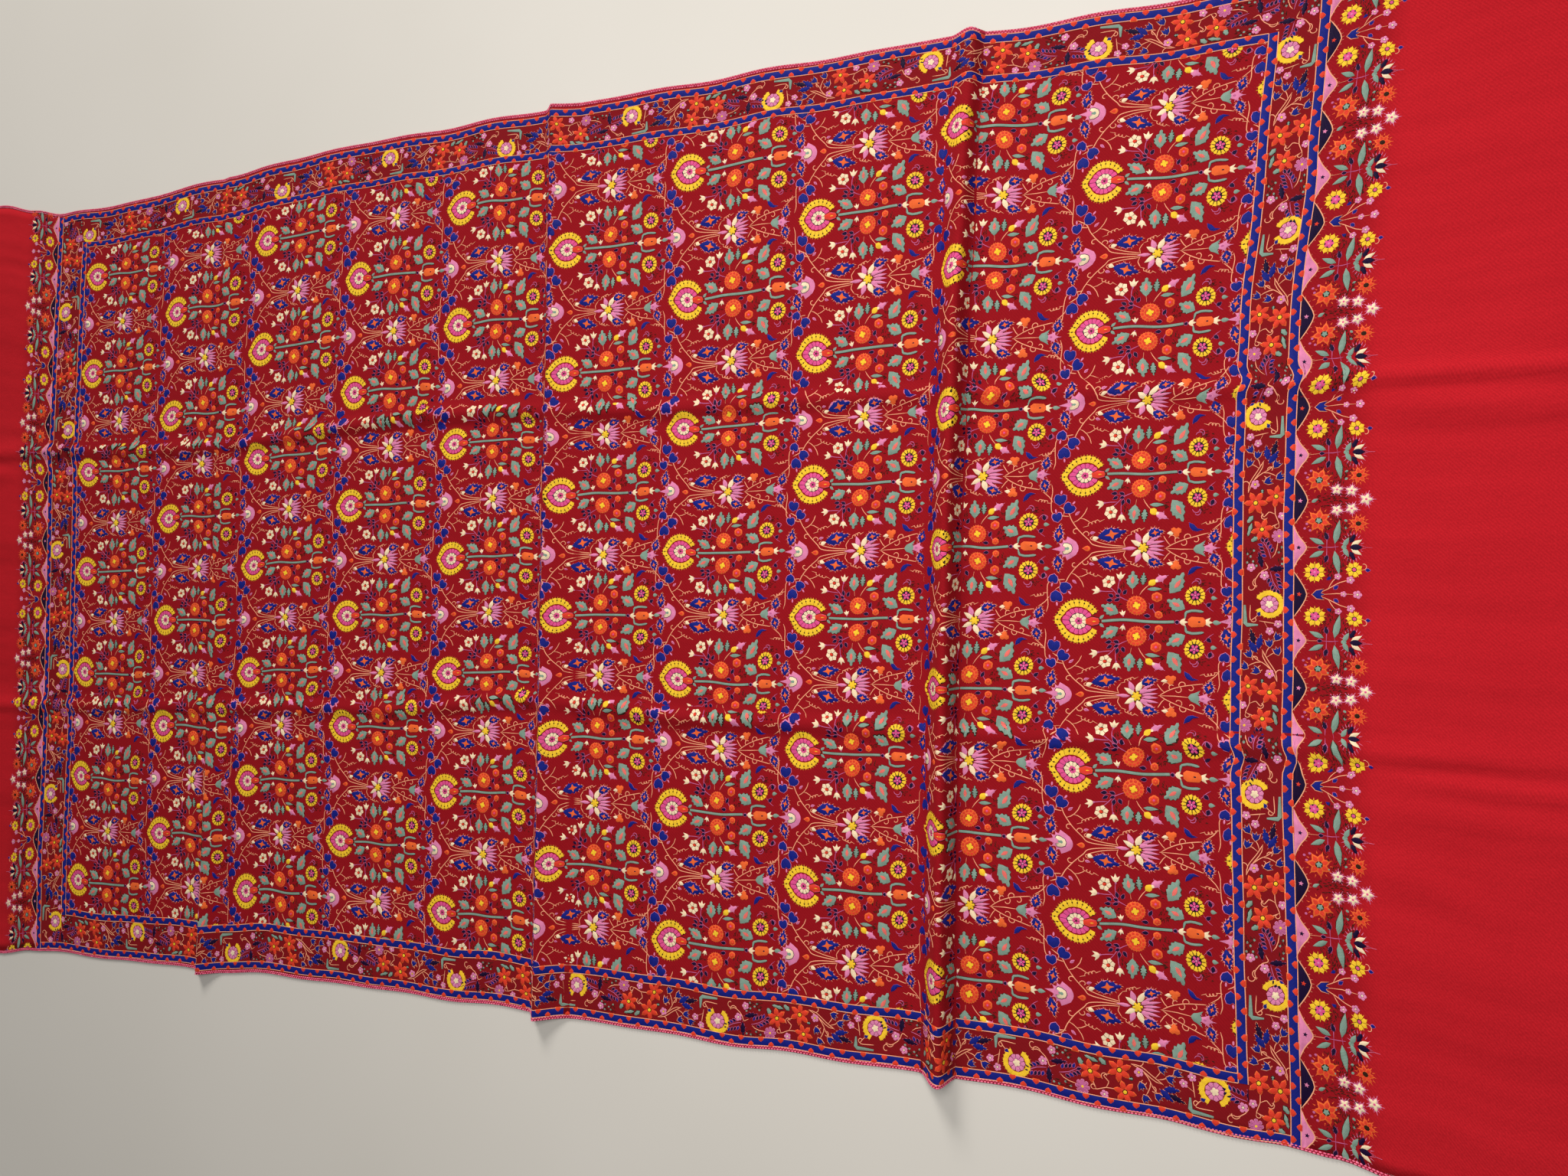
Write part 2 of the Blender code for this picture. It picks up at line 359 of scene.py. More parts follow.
def place(u, v, up):
    """Points of the embroidery's layout at a height above the top of the cloth."""
    along, across = drift(u, v)
    x, y = FLAT.read(u + along, v + across, FLAT.x, FLAT.y)
    return surface(x, y, up + CLOTH_WALL)


def bent_faces(uv, faces):
    """Which triangles lie over a fold that bends them out of their plane."""
    along, across = drift(uv[:, 0], uv[:, 1])
    u, v = uv[:, 0] + along, uv[:, 1] + across
    lift, = FLAT.read(u, v, FLAT.z)
    after = np.roll(faces, -1, axis=1)
    middle, = FLAT.read((u[faces] + u[after]) / 2, (v[faces] + v[after]) / 2, FLAT.z)
    return np.abs(middle - (lift[faces] + lift[after]) / 2).max(axis=1) > FLATNESS


def refined(points, grain, faces):
    """Splits bent triangles in four, so that wide stitches follow the folds."""
    for _ in range(REFINE_ROUNDS):
        bent = bent_faces(points, faces)
        first = faces[bent]
        after = np.roll(first, -1, axis=1)
        middles = len(points) + np.arange(first.size).reshape(-1, 3)
        points = np.concatenate([points, ((points[first] + points[after]) / 2).reshape(-1, 3)])
        grain = np.concatenate([grain, ((grain[first] + grain[after]) / 2).reshape(-1, 2)])
        corners = [np.stack([first[:, k], middles[:, k], middles[:, k - 1]], -1) for k in range(3)]
        faces = np.concatenate([faces[~bent], middles] + corners)
    return points, grain, faces


# Middle lines of the two blue stripes round the field, on the flat layout
STRIPE_WIDTH = 0.0078
STRIPE_STEP = 0.0215
STRIPE_RIM, STRIPE_RIM_STEP = 0.0008, 0.0045
Stripes = namedtuple("Stripes", "inner outer")
LEFT, RIGHT = Stripes(-1.3515, -1.3985), Stripes(0.1345, 0.1755)
FRONT, BACK = Stripes(-0.3765, -0.4200), Stripes(0.5180, 0.5600)
HALF = STRIPE_WIDTH / 2
FIELD = (LEFT.inner + HALF, RIGHT.inner - HALF, FRONT.inner + HALF, BACK.inner - HALF)


# Materials. The painted shade on the ground of the end rows fades out between these distances past
# the stripe.
END_SHADE_FROM, END_SHADE_TO = 0.035, 0.070
SOFT_EDGE = 0.003


def srgb(red, green, blue):
    """A colour given as 0 to 255, as linear values with alpha."""
    def linear(c):
        c = c / 255
        return c / 12.92 if c <= 0.04045 else ((c + 0.055) / 1.055) ** 2.4
    return (linear(red), linear(green), linear(blue), 1.0)


class Nodes:
    """A small helper that adds and joins shader nodes."""

    def __init__(self, name, roughness, specular=0.5):
        self.material = bpy.data.materials.new(name)
        self.material.use_nodes = True
        self.tree = self.material.node_tree
        self.shader = self.tree.nodes["Principled BSDF"]
        self.set("Roughness", roughness)
        self.set("Specular IOR Level", specular)

    def set(self, socket, value):
        self.shader.inputs[socket].default_value = value

    def link(self, value, socket):
        self.tree.links.new(value, self.shader.inputs[socket])

    def add(self, kind, inputs=None, **settings):
        node = self.tree.nodes.new(kind)
        for key, value in settings.items():
            setattr(node, key, value)
        for key, value in (inputs or {}).items():
            if isinstance(value, bpy.types.NodeSocket):
                self.tree.links.new(value, node.inputs[key])
            else:
                node.inputs[key].default_value = value
        return node

    def maths(self, operation, a, b, c=0.0, clamp=False):
        inputs = {0: a, 1: b, 2: c}
        return self.add("ShaderNodeMath", inputs, operation=operation, use_clamp=clamp).outputs[0]

    def times(self, a, b):
        return self.maths("MULTIPLY", a, b)

    def mix(self, factor, a, b):
        return self.add("ShaderNodeMix", {0: factor, 6: a, 7: b}, data_type="RGBA").outputs[2]

    def tint(self, tone, mask, strength, colour):
        """A tone drawn towards a colour where a mask is high."""
        return self.mix(self.times(mask, strength), tone, colour)

    def noise(self, vector, scale, detail=2.0):
        inputs = {"Vector": vector, "Scale": scale, "Detail": detail}
        return self.add("ShaderNodeTexNoise", inputs).outputs[0]

    def stretched(self, vector, *scale):
        return self.add("ShaderNodeMapping", {"Vector": vector, "Scale": scale}).outputs[0]

    def bands(self, vector, scale, distortion, detail, direction):
        inputs = {"Vector": vector, "Scale": scale, "Distortion": distortion, "Detail": detail}
        wave = self.add("ShaderNodeTexWave", inputs, wave_type="BANDS", bands_direction=direction)
        return wave.outputs[1]

    def layout(self, name):
        return self.add("ShaderNodeUVMap", uv_map=name).outputs[0]

    def spot(self):
        return self.add("ShaderNodeTexCoord").outputs["Object"]

    def step(self, value, start, end):
        """0 to 1 as the value goes from start to end."""
        inputs = {0: value, 1: start, 2: end, 3: 0.0, 4: 1.0}
        return self.add("ShaderNodeMapRange", inputs, interpolation_type="SMOOTHSTEP").outputs[0]

    def inside(self, u, v, edge):
        """1 inside one of the stripes round the field and 0 outside it."""
        u0, u1, v0, v1 = (getattr(stripes, edge) for stripes in (LEFT, RIGHT, FRONT, BACK))
        share = self.times(self.step(u, u0 - SOFT_EDGE, u0), self.step(u, u1 + SOFT_EDGE, u1))
        share = self.times(share, self.step(v, v0 - SOFT_EDGE, v0))
        return self.times(share, self.step(v, v1 + SOFT_EDGE, v1))

    def bump(self, relief, strength=1.0):
        inputs = {"Height": relief, "Strength": strength, "Distance": 1.0}
        self.link(self.add("ShaderNodeBump", inputs).outputs[0], "Normal")


def twill_material():
    """Fine crimson twill with a soft nap, darker and lighter in broad patches."""
    n = Nodes("crimson_twill", 0.88, 0.07)
    n.set("Sheen Weight", 0.12)
    n.set("Sheen Roughness", 0.4)
    n.set("Sheen Tint", srgb(255, 90, 80))
    flat = n.layout("flat")
    fine = n.noise(flat, 260.0)
    slubs = n.noise(n.stretched(flat, 14.0, 420.0, 1.0), 1.0)
    twill = n.bands(flat, 200.0, 0.6, 2.0, "DIAGONAL")
    weave = n.step(n.noise(flat, 620.0, 1.0), 0.30, 0.70)
    u, v, _ = n.add("ShaderNodeSeparateXYZ", {0: flat}).outputs
    whole, field = n.inside(u, v, "outer"), n.inside(u, v, "inner")
    # Mask of the end rows past the outer stripes, which carries their painted shade
    end_row_shade = n.times(n.step(u, LEFT.outer - END_SHADE_TO, LEFT.outer - END_SHADE_FROM),
                     n.step(u, RIGHT.outer + END_SHADE_TO, RIGHT.outer + END_SHADE_FROM))
    deep, bright = srgb(150, 14, 24), srgb(198, 34, 42)
    tone = n.mix(n.noise(flat, 7.0, 3.0), deep, bright)
    tone = n.mix(0.55, tone, srgb(178, 22, 32))
    tone = n.tint(tone, fine, 0.35, deep)
    tone = n.tint(tone, n.maths("MULTIPLY_ADD", slubs, 0.5, 0.30), 0.35, bright)
    tone = n.tint(tone, twill, 0.22, srgb(120, 8, 18))
    # Painted shade: the ground is drawn darker inside the outer stripes, and darker still between
    # the stripes and in the end rows, for the shade among the raised stitches
    tone = n.tint(tone, whole, 0.62, srgb(98, 4, 12))
    tone = n.tint(tone, n.maths("SUBTRACT", whole, field), 0.42, srgb(84, 18, 20))
    tone = n.tint(tone, n.maths("SUBTRACT", end_row_shade, whole, clamp=True), 0.56, srgb(92, 6, 14))
    n.link(n.tint(tone, weave, 0.22, srgb(112, 6, 16)), "Base Color")
    wrinkles = n.noise(n.stretched(flat, 1.6, 15.0, 1.0), 1.0)
    relief = n.maths("ADD", n.times(twill, 0.00008), n.times(fine, 0.00012))
    relief = n.maths("ADD", relief, n.times(n.noise(flat, 60.0), 0.0011))
    plain = n.maths("SUBTRACT", 1.0, whole)
    relief = n.maths("ADD", relief, n.times(n.times(wrinkles, plain), 0.0120))
    n.bump(relief, 0.6)
    return n.material


# Meshes
def make_object(name, points, faces, material, smooth_shading=True):
    """A piece from arrays of points and triangles."""
    data = bpy.data.meshes.new(name)
    points = np.asarray(points, np.float32)
    faces = np.asarray(faces, np.int32)
    corners = faces.shape[1]
    data.vertices.add(len(points))
    data.vertices.foreach_set("co", points.ravel())
    data.loops.add(faces.size)
    data.loops.foreach_set("vertex_index", faces.ravel())
    data.polygons.add(len(faces))
    data.polygons.foreach_set("loop_start", np.arange(0, faces.size, corners, dtype=np.int32))
    data.update(calc_edges=True)
    data.materials.append(material)
    if smooth_shading:
        data.shade_smooth()
    piece = bpy.data.objects.new(name, data)
    bpy.context.scene.collection.objects.link(piece)
    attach(piece, "root")
    return piece


def set_layout(piece, name, values):
    """A UV layout from a value for each point."""
    layer = piece.data.uv_layers.new(name=name)
    index = np.zeros(len(piece.data.loops), np.int32)
    piece.data.loops.foreach_get("vertex_index", index)
    layer.data.foreach_set("uv", np.asarray(values, np.float32)[index].ravel())


def wall_faces(columns, rows):
    """Quads of a closed wall: its top net, its underside net and its rim."""
    index = np.arange(columns * rows).reshape(columns, rows)
    under = index + columns * rows
    top_faces = np.stack([index[:-1, :-1], index[1:, :-1], index[1:, 1:], index[:-1, 1:]], -1)
    low_faces = np.stack([under[:-1, :-1], under[:-1, 1:], under[1:, 1:], under[1:, :-1]], -1)
    rim = np.concatenate([index[:, 0], index[-1, 1:], index[-2::-1, -1], index[0, -2:0:-1]])
    around = np.roll(rim, -1)
    offset = columns * rows
    side = np.stack([rim, rim + offset, around + offset, around], -1)
    return np.concatenate([top_faces.reshape(-1, 4), low_faces.reshape(-1, 4), side])


def spread(start, end, spacing, centres, fine, reach):
    """Positions from start to end, closer together near the centres."""
    places = [start]
    while places[-1] < end:
        near = min((abs(places[-1] - c) for c in centres), default=reach)
        share = float(smooth(near / reach))
        places.append(places[-1] + fine + (spacing - fine) * share)
    places = np.array(places)
    return start + (places - start) * (end - start) / (places[-1] - start)


COLUMN_STEP, COLUMN_STEP_FINE = 0.0150, 0.0021
ROW_STEP, ROW_STEP_FINE = 0.0100, 0.0045
FOLD_REACH, CREASE_REACH = 0.050, 0.040
CREASE_CENTRES = (-0.108, 0.216)
RIDGE_LEAN_REACH = 0.2
FOLD_CENTRES = [fold.sections[2].crest for fold in FOLDS.values()]


def build_cloth(material):
    """The cloth between its edgings, as one closed wall with its edges finished."""
    share = spread(LEFT_END, RIGHT_END, COLUMN_STEP, FOLD_CENTRES, COLUMN_STEP_FINE, FOLD_REACH)
    rows = spread(V_FRONT, V_BACK, ROW_STEP, CREASE_CENTRES, ROW_STEP_FINE, CREASE_REACH)
    start, v = np.meshgrid(share, rows, indexing="ij")
    along = (start - LEFT_END) / (RIGHT_END - LEFT_END)
    ridge = FOLD_CENTRES[0]
    x = start.copy()
    for _ in range(3):
        y = FLAT.across(x, v)
        lean = read_between(y, FOLDS["standing_ridge"].sections, "across", "crest")
        near_ridge = smooth(1.0 - np.abs(start - ridge) / RIDGE_LEAN_REACH)
        x = end_line(start, END_BOW * (2 * along - 1), y) + (lean - ridge) * near_ridge
    front, back = front_edge(x), back_edge(x)
    inset = EDGING_WIDTH + SEAM_GAP
    y = front + inset + (v - V_FRONT) * (back - front - 2 * inset) / WIDTH
    real_v = V_FRONT + (y - front) * WIDTH / (back - front)
    top = surface(x, y, CLOTH_WALL)
    under = surface(x, y, UNDERSIDE_LIFT)
    points = np.concatenate([top.reshape(-1, 3), under.reshape(-1, 3)])
    piece = make_object("shawl_twill", points, wall_faces(*x.shape), material)
    layout = np.stack([FLAT.flat_u(x, real_v), real_v], -1).reshape(-1, 2)
    layout = layout - np.stack(drift(layout[:, 0], layout[:, 1]), -1)
    set_layout(piece, "flat", np.concatenate([layout, layout]))
    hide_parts("shawl_cloth")
    return piece


cloth = build_cloth(twill_material())


# Threads of the embroidery
THREADS = {
    "yellow": srgb(248, 196, 46),
    "cream": srgb(246, 218, 178),
    "pink": srgb(224, 80, 138),
    "rose": srgb(222, 128, 168),
    "coral": srgb(220, 60, 38),
    "orange": srgb(234, 100, 44),
    "blush": srgb(232, 108, 98),
    "blue": srgb(18, 28, 120),
    "navy": srgb(24, 4, 44),
    "green": srgb(128, 152, 136),
    "olive": srgb(50, 26, 12),
    "salmon": srgb(248, 166, 126),
    "mauve": srgb(190, 96, 142),
}

# Heights in millimetres of a stitch's top and of its edge, at each level
LEVELS = (0.34, 0.56, 0.76, 0.94)
BASES = (-0.06, 0.22, 0.44, 0.62)

# A line keeps a point that turns it by so much, or so far on in millimetres
LINE_BEND = 0.30
LINE_REACH = 5.0


def turned(points, degrees):
    c, s = math.cos(math.radians(degrees)), math.sin(math.radians(degrees))
    return np.asarray(points) @ np.array([[c, s], [-s, c]])


def polar(radius, angles):
    """Points at a radius from the middle, at angles in radians."""
    return np.stack([radius * np.cos(angles), radius * np.sin(angles)], -1)


def round_angles(count, start=0.0, end=360.0):
    whole = abs(end - start - 360.0) < 1e-6
    return np.radians(np.linspace(start, end, count, endpoint=not whole))


def oval(length, width, count=10):
    return polar(1.0, round_angles(count)) * (length / 2, width / 2)


def scalloped(radius, depth, lobes, steps=4):
    t = round_angles(lobes * steps)
    return polar(radius - depth * np.abs(np.cos(lobes * t / 2)), t)


def star(outer, inner, points):
    t = round_angles(points * 2)
    return polar(np.where(np.arange(len(t)) % 2 == 0, outer, inner), t)


def petals(outer, inner, count, point=0.35):
    """Broad petals with a tip each: a flower's outline."""
    half = 180.0 / count
    shoulder = outer * (1.0 - point / 2)
    t, r = [], []
    for k in range(count):
        middle = 360.0 * k / count
        t += [middle - half, middle - 0.55 * half, middle, middle + 0.55 * half]
        r += [inner, shoulder, outer, shoulder]
    return polar(np.array(r), np.radians(t))


def leaf(length, width, teeth=0, bite=0.7, bend=0.0):
    """A leaf about its middle, its tip at +a. Teeth notch both sides, and bend moves the tip."""
    steps = max(4, 2 * teeth)
    t = np.linspace(0.0, 1.0, steps + 1)[1:-1]
    half = width / 2 * np.sin(np.pi * t**0.80) ** 1.05
    tooth_tip = np.arange(len(t)) % 2 == 0
    if teeth:
        half = half - np.where(tooth_tip, 0.0, bite)
        t = t + np.where(tooth_tip, 0.4 / steps, 0.0)
    side = np.stack([(t - 0.5) * length, half], -1)
    outline = np.concatenate([
        [[-length / 2, 0.0]], side * (1, -1), [[length / 2, 0.0]], side[::-1],
    ])
    outline[:, 1] += bend * (outline[:, 0] / length + 0.5) ** 2
    return outline


def mirrored(half, first=None, last=None):
    """A closed outline whose two sides mirror each other, with single points at its ends."""
    lower = [(a, -b) for a, b in half]
    return np.array([first] * bool(first) + lower + [last] * bool(last) + half[::-1])


def drop(length, width):
    """A drop about its middle, its point at +a."""
    back = polar(width / 2, round_angles(8, 60.0, 300.0)) + ((width - length) / 2, 0.0)
    return np.concatenate([[[length / 2, 0.0]], back])


HEART_SIDE = [(-0.50, 0.20), (-0.42, 0.46), (-0.10, 0.53), (0.25, 0.40)]


def heart(length, width):
    """A heart leaf about its middle, its tip at +a and its notch at -a."""
    return mirrored(HEART_SIDE, (-0.36, 0.0), (0.50, 0.0)) * (length, width)


def curve(controls, steps=5):
    """Points on a smooth line through the controls."""
    p = np.asarray(controls, float)
    p = np.concatenate([[2 * p[0] - p[1]], p, [2 * p[-1] - p[-2]]])
    t = np.linspace(0.0, 1.0, steps, endpoint=False)[:, None]
    parts = []
    for k in range(1, len(p) - 2):
        a, b, c, d = p[k - 1], p[k], p[k + 1], p[k + 2]
        parts.append(
            0.5 * (2 * b + (c - a) * t + (2 * a - 5 * b + 4 * c - d) * t**2
                   + (3 * b - a - 3 * c + d) * t**3)
        )
    return np.concatenate(parts + [p[-2:-1]])


def curl(at, heading, radius, sweep):
    """A spiral tendril from a point, its first heading and sweep in degrees."""
    steps = 8
    t = np.linspace(0.0, 1.0, steps)
    angles = np.radians(heading + sweep * t)
    stride = 2.4 * radius / (steps - 1) * (1.25 - 0.8 * t)
    moves = np.stack([np.cos(angles), np.sin(angles)], -1) * stride[:, None]
    return np.asarray(at) + np.concatenate([[[0.0, 0.0]], np.cumsum(moves[:-1], axis=0)])


def thinned(path):
    """A path without the points that hardly turn it."""
    kept = [path[0]]
    for here, after in zip(path[1:-1], path[2:]):
        before, ahead = here - kept[-1], after - here
        reach = np.linalg.norm(before)
        turn = abs(before[0] * ahead[1] - before[1] * ahead[0])
        turn /= max(reach * np.linalg.norm(ahead), 1e-9)
        if turn > LINE_BEND or np.linalg.norm(after - kept[-1]) > LINE_REACH:
            kept.append(here)
    return np.array(kept + [path[-1]])


def row_faces(rows, count, closed=False):
    """Triangles between neighbouring rows of points, and round each row if it is closed."""
    k = np.arange(count if closed else count - 1)
    after = (k + 1) % count
    faces = [np.zeros((0, 3), int)]
    for low in np.arange(rows - 1) * count:
        high = low + count
        faces.append(np.stack([low + k, low + after, high + after], -1))
        faces.append(np.stack([low + k, high + after, high + k], -1))
    return np.concatenate(faces)


class Stitches:
    """Raised shapes in millimetres on flat axes a and b, kept apart by thread."""

    def __init__(self):
        self.parts = {thread: [] for thread in THREADS}
        self.side = 1

    def both_sides(self):
        """Has a loop's stitches drawn twice, the second time mirrored about the a axis."""
        for side in (1, -1):
            self.side = side
            yield
        self.side = 1

    def add(self, thread, points, faces, grain):
        self.parts[thread].append((np.asarray(points, float), np.asarray(faces), grain))

    def patch(self, thread, outline, at=(0.0, 0.0), turn=0.0, level=0, bevel=0.0):
        """A domed filling inside an outline that is star-shaped about its middle."""
        ring = turned(outline, turn) + at
        ring[:, 1] *= self.side
        n = len(ring)
        middle = np.asarray(at, float) * (1, self.side)
        top_height = LEVELS[level]
        reach = np.linalg.norm(ring - middle, axis=1, keepdims=True)
        rings = [np.column_stack([ring, np.full(n, BASES[level])])]
        if bevel:
            share = np.clip(1.0 - bevel / np.maximum(reach, 0.01), 0.35, 1.0)
            inner = middle + (ring - middle) * share
            shoulder = 0.15 * BASES[level] + 0.85 * top_height
            rings.append(np.column_stack([inner, np.full(n, shoulder)]))
        points = np.concatenate(rings + [[[*middle, top_height]]])
        last = (len(rings) - 1) * n + np.arange(n)
        fan = np.stack([last, np.roll(last, -1), np.full(n, len(points) - 1)], -1)
        faces = np.concatenate([row_faces(len(rings), n, closed=True), fan])
        self.add(thread, points, faces, turned(points[:, :2] * (1, self.side) - at, -turn))

    def line(self, thread, path, width=0.9, level=0, taper=True, closed=False):
        """A raised line of stitches along a path."""
        path = np.asarray(path, float) * (1, self.side)
        if not closed:
            path = thinned(path)
        n = len(path)
        if closed:
            along = np.roll(path, -1, axis=0) - np.roll(path, 1, axis=0)
        else:
            along = np.gradient(path, axis=0)
        along /= np.maximum(np.linalg.norm(along, axis=1, keepdims=True), 1e-9)
        across = np.stack([-along[:, 1], along[:, 0]], -1)
        half = np.full((n, 1), width / 2)
        if taper and not closed:
            half[0] *= 0.5
            half[-1] *= 0.4
        points = np.concatenate([
            np.column_stack([path - across * half, np.full(n, BASES[level])]),
            np.column_stack([path, np.full(n, LEVELS[level])]),
            np.column_stack([path + across * half, np.full(n, BASES[level])]),
        ])
        steps = np.linalg.norm(np.diff(path, axis=0), axis=1)
        run = np.concatenate([[0.0], np.cumsum(steps)])
        grain = np.column_stack([np.tile(run, 3), np.repeat([-1.0, 0.0, 1.0], n)])
        self.add(thread, points, row_faces(3, n, closed), grain)

    def patches(self, rows):
        """Several patches, each by its thread, outline, place, turn, level and bevel."""
        for row in rows:
            self.patch(*row)

    def lines(self, thread, rows):
        """Several low lines of one thread, each by its path and width."""
        for path, width in rows:
            self.line(thread, path, width)

    def spikes(self, thread, outline, at=(0.0, 0.0), turn=0.0, length=1.6, width=0.7, lean=0.0):
        """Short hairs that stand out from an outline."""
        ring = turned(outline, turn)
        out = turned(ring / np.maximum(np.linalg.norm(ring, axis=1, keepdims=True), 1e-9), lean)
        across = np.stack([-out[:, 1], out[:, 0]], -1)
        base = ring - out * 0.5
        tip = ring + out * length
        n = len(ring)
        sets = [
            (base - across * width / 2, BASES[0]), (base + across * width / 2, BASES[0]),
            (base, LEVELS[0]), (tip, 0.02),
        ]
        points = np.concatenate([
            np.column_stack([(p + at) * (1, self.side), np.full(n, h)]) for p, h in sets
        ])
        k = np.arange(n)
        faces = np.concatenate([
            np.stack([k, k + 3 * n, k + 2 * n], -1),
            np.stack([k + 2 * n, k + 3 * n, k + n], -1),
        ])
        grain = np.column_stack([np.repeat([0.0, 0.0, 0.0, length], n), np.zeros(4 * n)])
        self.add(thread, points, faces, grain)

    def blocks(self, thread, outer, inner, count, at=(0.0, 0.0), start=0.0, end=360.0,
               level=0, gap=0.10, bulge=0.35):
        """A ring or arc of satin blocks between two radii, each given as a function of angle."""
        edges = np.linspace(start, end, count + 1)
        for first, last in zip(edges[:-1], edges[1:]):
            room = (last - first) * gap / 2
            a, b = first + room, last - room
            middle = (a + b) / 2
            corners = [
                (a, inner(a)), (middle, inner(middle)), (b, inner(b)),
                (b, outer(b) - bulge), (middle, outer(middle) + bulge), (a, outer(a) - bulge),
            ]
            angles, radii = np.array(corners).T
            ring = polar(radii, np.radians(angles))
            if ring_area(ring) < 0:
                ring = ring[::-1]
            centre = ring.mean(axis=0)
            block = turned(ring - centre, -middle)
            self.patch(thread, block, np.asarray(at) + centre, middle, level)


def ring_area(ring):
    a, b = ring[:, 0], ring[:, 1]
    return 0.5 * np.sum(a * np.roll(b, -1) - b * np.roll(a, -1))


def steady(value):
    return lambda angle: value


# Small motifs, each drawn on a Stitches
def beside(at, heading, distance):
    """The point at a distance from another, in a direction in degrees."""
    return np.asarray(at) + turned([[distance, 0.0]], heading)[0]


def petal_ring(s, thread, outline, at, distance, count, turn=0.0, level=1, bevel=0.0):
    """The same petal at even steps round a flower."""
    for k in range(count):
        heading = turn + 360.0 * k / count
        s.patch(thread, outline, beside(at, heading, distance), heading, level, bevel)


def eyed_leaf(s, at, turn, length=5.0, width=3.0, rim="mauve", eye="navy"):
    s.patch(rim, leaf(length + 1.9, width + 1.7), at, turn)
    s.patch(eye, leaf(length + 0.4, width + 0.3), at, turn, 1)


def green_leaf(s, at, turn, length, width, bend=0.0, eye=True):
    rim = leaf(length + 3.6, width + 3.8, 5, bite=0.8, bend=bend)
    blade = leaf(length + 0.6, width + 1.1, 5, bite=1.3, bend=bend)
    s.patch("olive", rim, at, turn)
    s.patch("green", blade, at, turn, 1, 0.9)
    if eye:
        s.patch("olive", leaf(length * 0.54, width * 0.46, bend=bend / 3), at, turn, 2)
        s.patch("blush", leaf(length * 0.46, width * 0.30, bend=bend / 3), at, turn, 3)


def blue_leaf(s, at, turn, length, width):
    hairs = leaf(length + 0.8, width + 0.8, 5)
    s.spikes("salmon", hairs, at, turn, length=1.7, lean=-18.0)
    s.patch("rose", leaf(length + 2.2, width + 2.2), at, turn)
    s.patch("blue", leaf(length, width, 5, bite=1.3), at, turn, 1, 0.8)
    s.patch("olive", star(length * 0.23, length * 0.10, 4) * (1.2, 0.9), at, turn, 2)
    s.patch("orange", star(length * 0.20, length * 0.08, 4) * (1.2, 0.85), at, turn, 3)


def heart_leaf(s, at, turn, size):
    s.patch("rose", heart(size + 2.6, size + 2.8), at, turn)
    s.patch("blue", heart(size, size), at, turn, 1, 0.8)
    s.patch("rose", oval(4.4, 2.0, 8), beside(at, turn, -(size / 2 + 1.8)), turn)


def cream_flower(s, at, size, turn=0.0):
    s.patch("olive", oval(size * 0.8, size * 0.8, 9), at, turn)
    s.blocks("cream", steady(size / 2), steady(size * 0.16), 6, at, turn, turn + 360, 1, bulge=0.6)
    s.patch("coral", drop(size * 0.36, size * 0.26), at, turn, 2)


def crown(s, at, turn, size):
    """A small flower seen from the side: three points that open from a cup."""
    outline = mirrored([(-0.2, 0.28), (0.3, 0.5), (0.14, 0.17)], (-0.45, 0.0), (0.55, 0.0)) * size
    s.patch("cream", outline, at, turn, 0, 0.6)
    cup = oval(size * 0.25, size * 0.22, 7)
    s.patch("mauve", cup, beside(at, turn, -size * 0.45), turn, 1)


def scallop_flower(s, at, size):
    s.spikes("orange", oval(size - 0.4, size - 0.4, 24), at, length=0.8, width=1.0)
    s.patch("orange", oval(size - 0.2, size - 0.2, 16), at, 0, 0, 0.6)
    s.blocks("coral", steady(size / 2 - 0.8), steady(size * 0.31), 12, at, 0, 360, 1, 0.07)
    s.patch("orange", oval(size * 0.60, size * 0.60, 12), at, 0, 1)
    s.blocks("coral", steady(size * 0.27), steady(size * 0.10), 8, at, 20, 380, 2, 0.06)
    s.patch("olive", oval(size * 0.40, size * 0.40, 8), at, 0, 2)
    s.patch("yellow", petals(size * 0.20, size * 0.11, 4, 0.1), at, 12, 3)


def small_flower(s, at, size, eye="pink"):
    s.patch("orange", scalloped(size / 2 + 0.5, size * 0.08, 6, 3), at, 0, 0, 0.5)
    s.patch("coral", scalloped(size / 2 - 0.6, size * 0.12, 6, 2), at, 0, 1, 0.6)
    s.patch("olive", oval(size * 0.34, size * 0.34, 7), at, 0, 2)
    s.patch(eye, oval(size * 0.24, size * 0.24, 6), at, 0, 3)


def ring_flower(s, at, size):
    s.spikes("yellow", oval(size, size, 20), at, length=0.9)
    s.patch("olive", oval(size * 0.99, size * 0.99, 14), at, 0, 0, 1.0)
    s.blocks("yellow", steady(size * 0.49), steady(size * 0.25), 13, at, 0, 360, 1, 0.07)
    s.patch("navy", oval(size * 0.50, size * 0.50, 12), at, 0, 1, 0.8)
    petal = oval(size * 0.22, size * 0.19, 6)
    petal_ring(s, "pink", petal, at, size * 0.135, 5, 20.0, 2)
    s.patch("rose", oval(size * 0.12, size * 0.12, 6), at, 0, 3)


def spiky_flower(s, at, size, eye="green", turn=0.0):
    points = 7
    hairs = star(size / 2, size * 0.34, points * 2)
    s.spikes("orange", hairs, at, turn, length=2.0, width=1.1)
    s.patch("orange", star(size / 2, size * 0.31, points) * 1.10, at, turn, 0, 0.8)
    petal_ring(s, "coral", leaf(size * 0.38, size * 0.25), at, size * 0.27, points, turn)
    s.patch("olive", oval(size * 0.34, size * 0.30, 8), at, turn, 2)
    s.patch(eye, star(size * 0.15, size * 0.09, 5), at, turn, 3)


